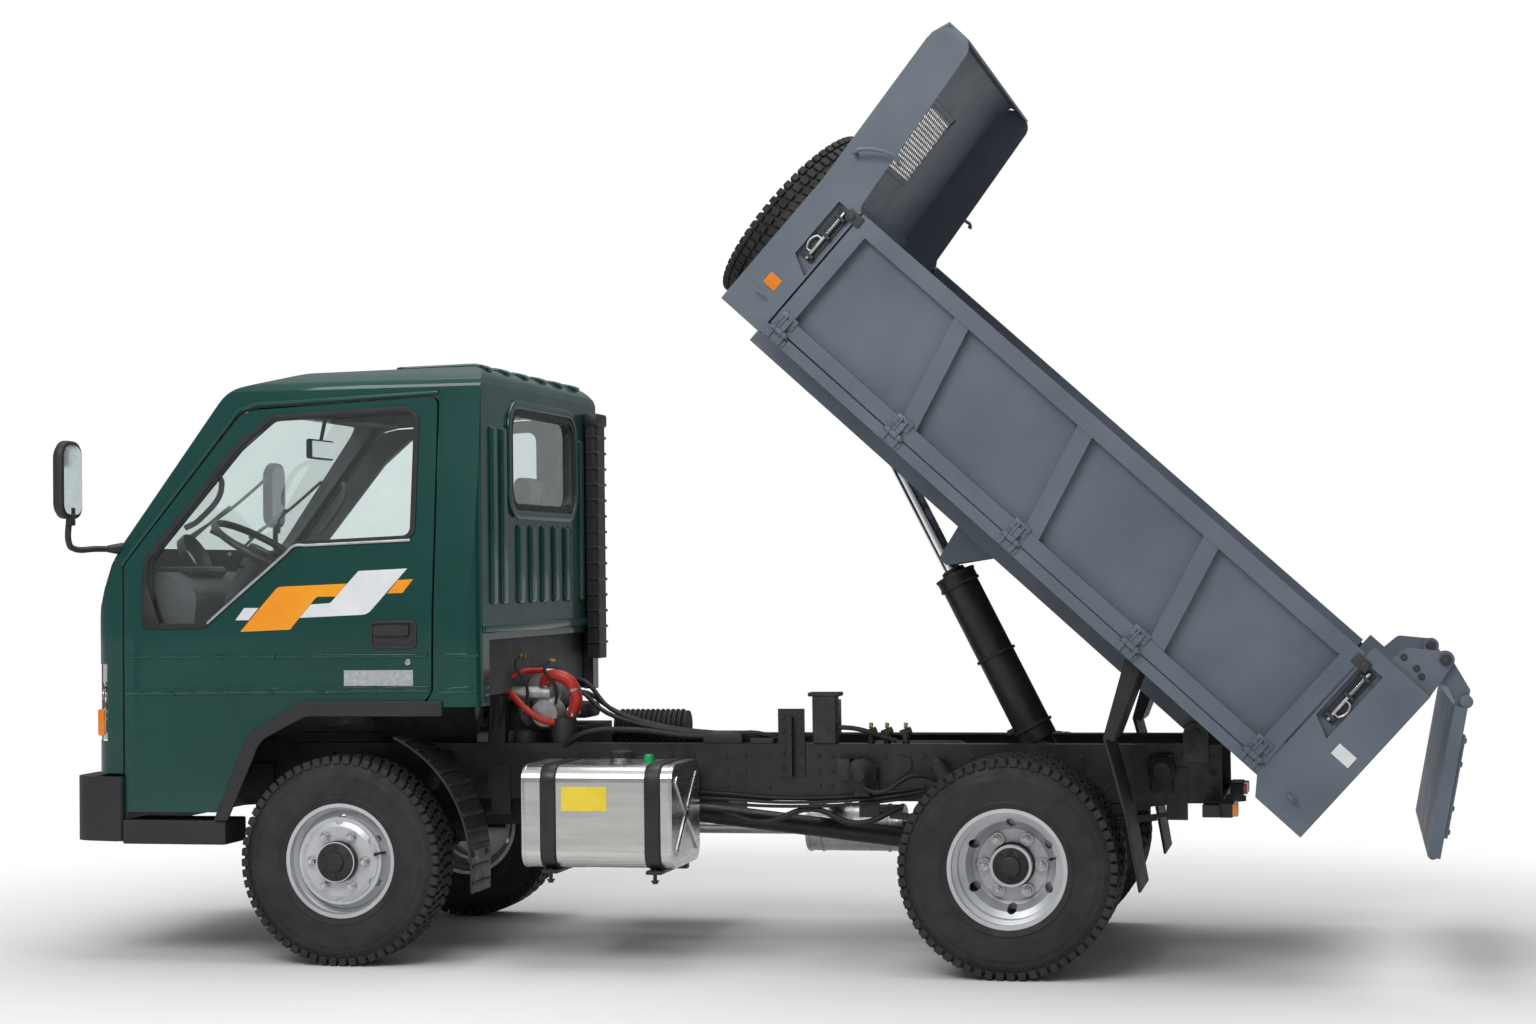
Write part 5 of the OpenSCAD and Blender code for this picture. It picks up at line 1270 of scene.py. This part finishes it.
sender.lathe([(0, 0.03), (0.016, 0.029), (0.02, 0.02), (0.021, 0.0), (0, 0.0)],
    Matrix.Translation((1.13, -0.6, TANK_TOP)), steps=24)
sender.done("sender_cap", "root", "rubber", GREEN_CAP)
tag = Part()
tag.block((0.85, tank_low.y - 0.0015, 0.575), (1.02, tank_low.y + 0.001, 0.662), 0.0008)
tag.done("blank_tank_plate", "root", "tank_steel", YELLOW)

# %% [markdown]
# ### Engine
#
# Behind the cab the engine shows its valve cover, its manifold, the turbine's
# red hoses, brass unions and a bundle of small pipes. The air comes through a
# ribbed black hose.

# %% Engine castings
top = Part()
top.block((0.3, -0.13, 0.925), (0.585, 0.05, 1.0), 0.02, 3)
for x in (0.35, 0.44, 0.53):
    top.bar((x, -0.04, 0.995), (x, -0.04, 1.012), 0.02, edge=0.003)
top.lathe([(0, -0.05), (0.05, -0.05), (0.06, -0.035), (0.06, 0.035), (0.05, 0.05), (0, 0.05)],
          Matrix.Translation((0.64, -0.26, 0.9)) @ Matrix.Rotation(radians(90), 4, "X"), steps=32)
top.lathe([(0, -0.035), (0.07, -0.035), (0.082, -0.02), (0.082, 0.02), (0.07, 0.035), (0, 0.035)],
          Matrix.Translation((0.61, -0.17, 0.985)) @ Matrix.Rotation(radians(90), 4, "X"), steps=32)
for x in (0.36, 0.45, 0.54, 0.62):
    top.pipe([(x, -0.2, 0.86), (x, -0.25, 0.9), (x + 0.02, -0.27, 0.97)], 0.02)
top.bar((0.34, -0.275, 0.975), (0.66, -0.275, 0.975), 0.026, edge=0.005)
top.block((0.36, -0.3, 0.72), (0.5, -0.21, 0.83), 0.015, 2)
top.done("engine_castings", "root", "cast_metal", ALLOY)
dark = Part()
dark.lathe([(0, 0), (0.045, 0.004), (0.05, 0.02), (0.05, 0.12), (0.045, 0.135), (0, 0.14)],
    Matrix.Translation((0.71, -0.28, 0.745)), steps=32)
dark.lathe([(0, 0), (0.04, 0.0), (0.044, 0.008), (0.044, 0.1), (0.03, 0.115), (0, 0.12)],
    Matrix.Translation((0.56, -0.3, 0.72)), steps=32)
dark.block((0.39, -0.34, 1.03), (0.47, -0.24, 1.13), 0.01, 2)
dark.block((0.62, -0.1, 0.87), (0.75, 0.08, 0.93), 0.015, 2)
dark.block((0.5, 0.06, 0.93), (0.56, 0.2, 1.06), 0.012, 2)
dark.done("engine_dark_parts", "root", "cast_metal", CAST_BLACK)

# %% Engine hoses and unions
red = Part()
red.pipe([(0.62, -0.24, 0.99), (0.66, -0.3, 1.04), (0.73, -0.31, 1.03), (0.765, -0.3, 0.96),
    (0.74, -0.28, 0.89)], 0.024)
red.pipe([(0.5, -0.3, 0.98), (0.56, -0.33, 0.93), (0.63, -0.33, 0.88), (0.7, -0.3, 0.86)], 0.013)
red.pipe([(0.45, -0.25, 1.0), (0.52, -0.28, 1.05), (0.6, -0.2, 1.06)], 0.011)
red.done("red_hoses", "root", "rubber", RED_HOSE)
rings = Part()
for place, aim in (((0.64, -0.275, 1.02), (0.04, -0.03, 0.03)),
    ((0.758, -0.304, 0.99), (0.02, 0.0, -0.05)), ((0.748, -0.287, 0.905), (-0.02, 0.02, -0.05))):
    rings.bar(Vector(place) - Vector(aim).normalized() * 0.006,
        Vector(place) + Vector(aim).normalized() * 0.006, 0.0265)
rings.done("hose_clamps", "root", "pipe_steel", STEEL)
brass = Part()
for x, y, z in ((0.38, -0.36, 1.14), (0.42, -0.36, 1.12), (0.46, -0.36, 1.1), (0.55, -0.32, 1.12),
    (0.66, -0.3, 1.1)):
    brass.bar((x, y, z), (x, y + 0.03, z), 0.009, sides=6)
    brass.bar((x, y - 0.012, z), (x, y, z), 0.006, sides=12)
    brass.bar((x, y + 0.005, z), (x + 0.02, y + 0.005, z), 0.006, sides=12)
brass.done("brass_unions", "root", "pipe_steel", BRASS)
lines = Part()
for x, y, z, drop in ((0.38, -0.372, 1.14, 0.3), (0.42, -0.372, 1.12, 0.33), (0.46, -0.372, 1.1, 0.26),
    (0.55, -0.332, 1.12, 0.22), (0.66, -0.312, 1.1, 0.2)):
    lines.pipe([(x, y, z), (x - 0.01, y - 0.02, z - 0.03), (x + 0.03, y - 0.01, z - drop * 0.5),
        (x + 0.01, y + 0.03, z - drop)], 0.006)
for y, z, lift in ((-0.12, 0.935, 0.05), (-0.06, 0.94, 0.08), (0.0, 0.94, 0.03)):
    lines.pipe([(0.59, y, z), (0.7, y - 0.02, z + lift), (0.85, y - 0.06, z + lift * 0.2 - 0.05),
        (1.05, y - 0.1, 0.84), (1.35, y - 0.14, 0.81)], 0.009)
lines.pipe([(0.7, -0.33, 0.76), (0.82, -0.37, 0.83), (0.98, -0.34, 0.84), (1.2, -0.31, 0.815),
    (1.5, -0.31, 0.81)], 0.011)
lines.done("engine_pipes", "root", "rubber", RUBBER)

intake = Part()
hose_low, hose_high = (TRUCK.inverted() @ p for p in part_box("intake_hose"))
r = (hose_high.z - hose_low.z) / 2
ribs = []
waves = 13
for k in range(waves):
    h = 0.012 + k * (hose_high.x - hose_low.x - 0.024) / waves
    ribs += [(r - 0.009, h), (r, h + 0.006), (r, h + 0.012), (r - 0.009, h + 0.017)]
ribs = [(0, 0), (r - 0.006, 0), (r - 0.006, 0.01)] + ribs + [(r - 0.006, hose_high.x - hose_low.x - 0.01),
    (r - 0.006, hose_high.x - hose_low.x), (0, hose_high.x - hose_low.x)]
intake.lathe(ribs, Matrix.Translation((hose_low.x, (hose_low.y + hose_high.y) / 2,
    (hose_low.z + hose_high.z) / 2)) @ Matrix.Rotation(radians(90), 4, "Y"))
intake.done("ribbed_intake_hose", "root", "rubber", RUBBER, replaces=["intake_hose"])

# %% [markdown]
# ### Pipes, valves and brackets along the rails

# %% Runs along the left rail
runs = Part()
for k, (y, z) in enumerate(((-0.365, 0.6), (-0.372, 0.615), (-0.362, 0.63))):
    runs.pipe([(0.7, y + 0.03, z - 0.03), (0.9, y, z - 0.02), (1.3, y, z - 0.03 + k * 0.004),
        (1.6, y, z - 0.04), (1.95, y, z - 0.02), (2.2, y + 0.03, z + 0.02)], 0.006)
runs.pipe([(1.3, -0.3, 0.8), (1.45, -0.33, 0.83), (1.6, -0.3, 0.8), (1.8, -0.34, 0.85),
    (2.0, -0.32, 0.8)], 0.009)
runs.pipe([(1.35, -0.33, 0.53), (1.5, -0.36, 0.5), (1.68, -0.35, 0.55), (1.86, -0.37, 0.5),
    (2.02, -0.34, 0.56)], 0.011)
runs.pipe([(1.85, -0.4, 0.66), (1.95, -0.44, 0.62), (2.08, -0.42, 0.68), (2.2, -0.37, 0.64)], 0.008)
runs.done("brake_pipes", "root", "rubber", RUBBER)
gear = Part()
gear.block((1.69, -0.36, 0.79), (1.78, -0.3, 0.975), 0.004)
gear.block((1.675, -0.366, 0.965), (1.795, -0.29, 0.98), 0.003)
gear.block((1.27, -0.35, 0.789), (1.42, -0.16, 0.828), 0.008, 2)
gear.block((1.45, -0.35, 0.789), (1.54, -0.24, 0.81), 0.004)
gear.block((1.79, -0.42, 0.66), (1.84, -0.35, 0.74), 0.006, 2)
gear.lathe([(0, -0.03), (0.05, -0.03), (0.056, -0.022), (0.056, 0.0), (0.06, 0.002), (0.06, 0.01),
    (0.04, 0.03), (0.02, 0.05), (0, 0.052)],
           Matrix.Translation((1.88, -0.4, 0.68)) @ Matrix.Rotation(radians(90), 4, "X"), steps=32)
gear.block((1.85, -0.4, 0.6), (1.91, -0.35, 0.64), 0.004)
gear.plate([(1.98, 0.64), (2.06, 0.7), (2.06, 0.74), (2.0, 0.75)], "y", 0.352, 0.36, corner=0.01,
    place=Matrix.Scale(-1, 4, (0, 1, 0)))
gear.lathe([(0, -0.2), (0.06, -0.2), (0.085, -0.18), (0.09, -0.16), (0.09, 0.16), (0.085, 0.18),
    (0.06, 0.2), (0, 0.2)],
           Matrix.Translation((2.0, 0.17, 0.68)) @ Matrix.Rotation(radians(90), 4, "Y"), steps=40)
for x in (1.9, 1.96, 2.03):
    gear.bar((x, -0.3, 0.79), (x, -0.3, 0.83), 0.014)
    gear.bar((x - 0.02, -0.3, 0.825), (x + 0.02, -0.3, 0.84), 0.012, sides=6)
gear.block((2.93, -0.37, 0.62), (3.01, -0.35, 0.76), 0.004)
gear.lathe([(0, -0.02), (0.045, -0.02), (0.05, 0.0), (0.05, 0.03), (0.03, 0.05), (0, 0.052)],
           Matrix.Translation((2.97, -0.37, 0.7)) @ Matrix.Rotation(radians(90), 4, "X"), steps=32)
gear.done("rail_brackets", "root", "frame_black", CAST_BLACK)
unions = Part()
for x, z in ((1.9, 0.845), (1.96, 0.845), (2.03, 0.845)):
    unions.bar((x, -0.3, z), (x, -0.3, z + 0.02), 0.008, sides=6)
    unions.bar((x, -0.315, z + 0.012), (x, -0.285, z + 0.012), 0.006, sides=12)
unions.done("valve_unions", "root", "pipe_steel", BRASS)

# %% [markdown]
# ### Mudguards, lamps and exhaust

# %% Front mudguard ribs and flap
ribbing = Part()
arc = TYRE_R + 0.118
for k in range(9):
    a = radians(6 + k * 6.8)
    place = Matrix.Translation((0, 0, TYRE_R)) @ Matrix.Rotation(-a, 4, "Y")
    ribbing.block((arc - 0.002, -0.778, -0.007), (arc + 0.006, -0.56, 0.007), 0.003, place=place)
for z in (0.3, 0.36):
    ribbing.block((0.503, -0.76, z), (0.51, -0.58, z + 0.012), 0.002)
for y in (-0.75, -0.6):
    ribbing.bolt((0.505, y, 0.41), (1, 0, 0), 0.009, 0.005)
ribbing.done("mudguard_ribs", "root", "black_plastic", PLASTIC, both=True)

# %% Tail lamps and exhaust bands
lamp_low, lamp_high = (TRUCK.inverted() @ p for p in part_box("tail_lights"))
boxes, ambers = Part(), Part()
boxes.block((lamp_low.x - 0.004, -0.525, lamp_low.z - 0.006),
    (lamp_low.x + 0.045, -0.355, lamp_high.z + 0.006), 0.004)
boxes.block((lamp_low.x - 0.06, -0.47, lamp_high.z), (lamp_low.x + 0.01, -0.41, lamp_high.z + 0.008), 0.002)
boxes.done("lamp_boxes", "root", "black_plastic", PLASTIC, both=True)
ambers.block((lamp_high.x - 0.03, -0.523, lamp_low.z - 0.002),
    (lamp_high.x + 0.002, -0.49, lamp_high.z + 0.002), 0.003)
ambers.done("rear_indicators", "root", "lamp_red", AMBER, both=True)
silencer = Part()
for x in (1.57, 1.62, 1.88, 1.93):
    silencer.lathe([(0.088, -0.006), (0.094, -0.004), (0.094, 0.004), (0.088, 0.006), (0.088, -0.006)],
                   Matrix.Translation((x, 0.19, 0.43)) @ Matrix.Rotation(radians(90), 4, "Y"), steps=40)
silencer.pipe([(1.94, 0.19, 0.43), (2.02, 0.2, 0.42), (2.08, 0.24, 0.36), (2.1, 0.3, 0.33)], 0.026)
silencer.done("silencer_bands", "root", "pipe_steel", STEEL)

# %% [markdown]
# ## The hoist
#
# The barrel has collars where its tubes meet, and a hexagonal union at its foot.

# %% Hoist collars and union
collars = Part(HOIST)
BARREL_R, BARREL_LEN, ROD_R = 0.071, 0.75, 0.031
for h in (0.1, 0.4, BARREL_LEN - 0.052, BARREL_LEN - 0.012):
    collars.lathe([(BARREL_R - 0.002, h), (BARREL_R + 0.008, h + 0.002), (BARREL_R + 0.008, h + 0.012),
        (BARREL_R - 0.002, h + 0.014), (BARREL_R - 0.002, h)],
                  Matrix.Identity(4))
collars.lathe([(ROD_R + 0.0005, BARREL_LEN), (ROD_R + 0.016, BARREL_LEN),
    (ROD_R + 0.013, BARREL_LEN + 0.018), (ROD_R + 0.0005, BARREL_LEN + 0.022), (ROD_R + 0.0005,
    BARREL_LEN)],
              Matrix.Identity(4))
collars.bar((-BARREL_R - 0.025, 0, 0.12), (-BARREL_R + 0.01, 0, 0.12), 0.014, sides=6)
collars.done("hoist_collars", "hoist_barrel", "frame_black", CAST_BLACK)

# %% [markdown]
# ## Seats
#
# A seat is foam under cloth, so it bulges between its seams and is round at its
# corners. Each pad starts as a block a little smaller than the CAD seat. Its
# skin is cut into small even squares and blown up a few millimetres by Blender's
# cloth solver, with a limit on how far any point may move. Welts go on after.

# %% Padding tool
def cloth_pad(name, slab, low, high, place, puff, edge):
    """A padded block between two corners of its own frame, set by place."""
    pad = Part(TRUCK @ place)
    shrink = Vector((puff * 0.55,) * 3)
    pad.block(Vector(low) + shrink, Vector(high) - shrink, edge, 4)
    piece = pad.done(name, "cab", "seat_cloth", slab, sharp=80)
    bpy.context.view_layer.objects.active = piece
    remesh = piece.modifiers.new("even", "REMESH")
    remesh.mode, remesh.voxel_size = "VOXEL", 0.012
    bpy.ops.object.modifier_apply(modifier=remesh.name)
    start = [v.co.copy() for v in piece.data.vertices]
    cloth = piece.modifiers.new("puff", "CLOTH")
    cloth.settings.use_pressure, cloth.settings.uniform_pressure_force = True, 4
    cloth.settings.effector_weights.gravity = 0
    cloth.settings.quality = 4
    cloth.point_cache.frame_end = 20
    for step in range(1, 21):
        bpy.context.scene.frame_set(step)
    bpy.ops.object.modifier_apply(modifier=cloth.name)
    bpy.context.scene.frame_set(1)
    for vert, was in zip(piece.data.vertices, start):
        moved = vert.co - was
        if moved.length > puff:
            vert.co = was + moved.normalized() * puff
    finer = piece.modifiers.new("finer", "SUBSURF")
    finer.levels = finer.render_levels = 1
    bpy.ops.object.modifier_apply(modifier=finer.name)
    piece.data.shade_smooth()
    return piece

# %% Three seats
SEATS = {"driver": (-0.4, 0.48), "middle": (0.12, 0.4), "passenger": (0.535, 0.37)}
BACK_LEAN = Matrix.Translation((0.31, 0, 1.13)) @ Matrix.Rotation(radians(11), 4, "Y")
pads = []
for name, (y, width) in SEATS.items():
    half = width / 2
    base = Matrix.Translation((-0.18, y, 0.995)) @ Matrix.Rotation(radians(3), 4, "Y")
    pads.append(cloth_pad(f"{name}_cushion", CLOTH, (0.0, -half, 0.0), (0.47, half, 0.13), base, 0.012,
        0.03))
    back = Matrix.Translation((0, y, 0)) @ BACK_LEAN
    pads.append(cloth_pad(f"{name}_backrest", CLOTH, (-0.045, -half, 0.0), (0.055, half, 0.53), back,
        0.012, 0.03))
    pads.append(cloth_pad(f"{name}_headrest", VINYL, (-0.03, -0.115, 0.56), (0.045, 0.115, 0.7), back,
        0.008, 0.022))
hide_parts("seats")
frames = Part()
for name, (y, width) in SEATS.items():
    back = Matrix.Translation((0, y, 0)) @ BACK_LEAN
    for side in (-0.05, 0.05):
        frames.bar(back @ Vector((0.008, side, 0.5)), back @ Vector((0.008, side, 0.6)), 0.006)
    frames.block((-0.14, y - width / 2 + 0.03, 0.993), (0.27, y + width / 2 - 0.03, 1.01), 0.004)
frames.done("seat_frames", "cab", "rod_chrome", STEEL)
welts = Part()
for name, (y, width) in SEATS.items():
    half = width / 2 - 0.006
    base = Matrix.Translation((-0.18, y, 0.995)) @ Matrix.Rotation(radians(3), 4, "Y")
    back = Matrix.Translation((0, y, 0)) @ BACK_LEAN
    for across in (-half * 0.62, half * 0.62):
        welts.pipe([base @ Vector((x, across, 0.131)) for x in (0.03, 0.15, 0.3, 0.42)], 0.0035)
        welts.pipe([back @ Vector((-0.047, across, z)) for z in (0.06, 0.2, 0.35, 0.49)], 0.0035)
welts.done("seat_welts", "cab", "seat_cloth", VINYL)

# %% [markdown]
# ## Inside the cab
#
# Through the glass one sees the dials' hood, the wheel, a gear lever, two sun
# visors, the mirror, the door linings with their grab handles, and the belts.

# %% Dials, levers and wheel
inside = Part()
inside.lathe([(0, 0.0), (0.05, 0.0), (0.085, 0.02), (0.09, 0.05), (0.086, 0.055), (0.078, 0.03),
    (0.045, 0.012), (0, 0.012)],
             Matrix.Translation((-0.78, -0.4, 1.5)) @ Matrix.Rotation(radians(60), 4, "Y"), steps=32)
inside.block((-0.84, -0.56, 1.44), (-0.68, -0.24, 1.475), 0.015, 2)
inside.block((-0.68, -0.12, 1.2), (-0.6, 0.12, 1.4), 0.01, 2)
for k in range(3):
    inside.bar((-0.615, -0.06 + 0.06 * k, 1.25), (-0.6, -0.06 + 0.06 * k, 1.25), 0.017, edge=0.003)
inside.pipe([(-0.36, -0.08, 1.0), (-0.4, -0.1, 1.15), (-0.44, -0.13, 1.28)], 0.009)
inside.lathe([(0, 0.035), (0.02, 0.03), (0.026, 0.015), (0.02, -0.005), (0.01, -0.02), (0, -0.02)],
    Matrix.Translation((-0.443, -0.132, 1.3)), steps=20)
inside.lathe([(0, 0.0), (0.06, 0.0), (0.05, 0.03), (0.03, 0.05), (0.012, 0.07), (0, 0.07)],
    Matrix.Translation((-0.36, -0.08, 0.985)), steps=24)
inside.pipe([(-0.1, -0.12, 1.0), (-0.12, -0.12, 1.08), (-0.24, -0.12, 1.16)], 0.012)
for sign, length in ((-1, 0.13), (1, 0.12)):
    inside.pipe([(-0.53, -0.4 + sign * 0.04, 1.47), (-0.53, -0.4 + sign * length, 1.5),
        (-0.52, -0.4 + sign * (length + 0.05), 1.52)], 0.008)
for y in (-0.45, 0.38):
    inside.block((-0.42, y - 0.2, 2.055), (-0.27, y + 0.2, 2.075), 0.008, 2)
inside.block((-0.4, -0.12, 1.9), (-0.375, 0.12, 1.98), 0.01, 3)
inside.bar((-0.385, 0, 1.97), (-0.36, 0, 2.08), 0.008)
inside.done("cabin_controls", "cab", "black_plastic", PLASTIC)
sight = Part()
sight.block((-0.3749, -0.112, 1.907), (-0.3735, 0.112, 1.973), 0.0005)
sight.done("inside_mirror", "cab", "rod_chrome", CHROME)
dials = Part()
face_at = Matrix.Translation((-0.78, -0.4, 1.5)) @ Matrix.Rotation(radians(60), 4, "Y")
dials.lathe([(0, 0.0135), (0.043, 0.0135), (0.043, 0.0125), (0, 0.0125)], face_at, steps=32)
dials.done("dial_face", "cab", "black_plastic", WHITE_MARK)
grip = Part()
spin_at = Matrix.Translation((-0.47, -0.4, 1.545)) @ Matrix.Rotation(radians(30), 4, "Y")
grip.lathe([(0, -0.002), (0.04, -0.002), (0.045, -0.008), (0.045, -0.02), (0.03, -0.022), (0, -0.022)],
    spin_at, steps=32)
for k in range(24):
    a = 2 * pi * k / 24
    grip.bar(spin_at @ Vector((0.1815 * cos(a), 0.1815 * sin(a), -0.002)),
        spin_at @ Vector((0.1845 * cos(a), 0.1845 * sin(a), -0.006)), 0.006, sides=8)
grip.done("wheel_hub_pad", "steering_wheel", "black_plastic", PLASTIC)

# %% Door linings, pillar handles and belts
for side, sign in (("left", -1), ("right", 1)):
    lining = Part()
    lining.plate([(-0.74, 0.99), (-0.52, 1.0), (0.3, 1.03), (0.3, 1.5), (-0.13, 1.49), (-0.52, 1.2),
        (-0.74, 1.2)], "y",
                 min(sign * 0.745, sign * 0.76), max(sign * 0.745, sign * 0.76), corner=0.03, edge=0.004)
    lining.block((-0.3, min(sign * 0.7, sign * 0.75), 1.22), (0.16, max(sign * 0.7, sign * 0.75), 1.26),
        0.015, 3)
    lining.pipe([(-0.2, sign * 0.72, 1.26), (-0.18, sign * 0.7, 1.3), (0.0, sign * 0.7, 1.33),
        (0.1, sign * 0.72, 1.27)], 0.011)
    lining.bar((-0.36, sign * 0.725, 1.15), (-0.36, sign * 0.748, 1.15), 0.024, edge=0.004)
    lining.bar((-0.36, sign * 0.72, 1.15), (-0.3, sign * 0.72, 1.12), 0.008)
    lining.done(f"door_lining_{side}", f"door_{side}", "interior_grey", TRIM_GREY)
    pillar = Part()
    pillar.pipe([(-0.66, sign * 0.665, 1.62), (-0.62, sign * 0.63, 1.65), (-0.53, sign * 0.62, 1.79),
        (-0.55, sign * 0.65, 1.83)], 0.011)
    pillar.done(f"pillar_handle_{side}", "cab", "interior_grey", TRIM_GREY)
    belt = Part()
    belt.pipe([(0.4, sign * 0.71, 1.95), (0.41, sign * 0.715, 1.6), (0.42, sign * 0.715, 1.2),
        (0.4, sign * 0.715, 1.02)], 0.008)
    belt.block((0.385, min(sign * 0.7, sign * 0.725), 1.93), (0.43, max(sign * 0.7, sign * 0.725), 1.98),
        0.005)
    belt.done(f"belt_{side}", "cab", "rubber", RUBBER)

# %% [markdown]
# ## Outside mirrors
#
# The mirror's housing is a rounded black shell with a flat glass on its rear
# side, carried by a bent tube with a clamp and a rubber foot.

# %% Mirror shells, glass and arms
for side, sign in (("left", -1), ("right", 1)):
    shell = Part()
    outline = [(sign * 0.862, 1.655, 0.05), (sign * 1.028, 1.655, 0.05), (sign * 1.028, 1.945, 0.06),
        (sign * 0.862, 1.945, 0.06)]
    shell.plate(outline, "x", -1.013, -0.977, steps=6, edge=0.012)
    shell.plate([(sign * 0.872, 1.668, 0.045), (sign * 1.018, 1.668, 0.045), (sign * 1.018, 1.932, 0.055),
        (sign * 0.872, 1.932, 0.055)], "x", -1.022, -1.005, steps=6, edge=0.008)
    shell.block((-0.995, sign * 0.945 - 0.02, 1.63), (-0.975, sign * 0.945 + 0.02, 1.7), 0.005, 2)
    shell.pipe([(-0.992, sign * 0.945, 1.67), (-0.992, sign * 0.945, 1.56), (-0.985, sign * 0.935, 1.547),
        (-0.93, sign * 0.85, 1.544), (-0.868, sign * 0.752, 1.544)], 0.0115)
    foot = Vector((-0.872, sign * 0.757, 1.544))
    shell.bar(foot, foot + Vector((-0.035, sign * 0.055, 0)), 0.024, 0.013, edge=0.003)
    shell.done(f"mirror_shell_{side}", "cab", "black_plastic", PLASTIC)
    pane = Part()
    pane.plate([(sign * 0.876, 1.672, 0.04), (sign * 1.014, 1.672, 0.04), (sign * 1.014, 1.928, 0.05),
        (sign * 0.876, 1.928, 0.05)], "x", -0.978, -0.9755, steps=6)
    pane.done(f"mirror_glass_{side}", "cab", "rod_chrome", CHROME)
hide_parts("mirrors")

# %% [markdown]
# ## Behind the cab
#
# The air intake climbs the cab's rear corner: a flat black duct with moulded
# ribs and a hooded mouth.

# %% Air intake ribs
duct_low, duct_high = (TRUCK.inverted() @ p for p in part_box("air_snorkel"))
duct = Part()
for k in range(14):
    z = duct_low.z + 0.06 + k * (duct_high.z - duct_low.z - 0.16) / 13
    duct.block((duct_low.x + 0.004, duct_low.y - 0.003, z),
        (duct_high.x + 0.003, duct_high.y + 0.003, z + 0.012), 0.004)
duct.block((duct_low.x - 0.004, duct_low.y - 0.006, duct_high.z - 0.05),
    (duct_high.x + 0.006, duct_high.y + 0.006, duct_high.z + 0.004), 0.01, 2)
duct.done("air_intake_ribs", "cab", "black_plastic", PLASTIC)
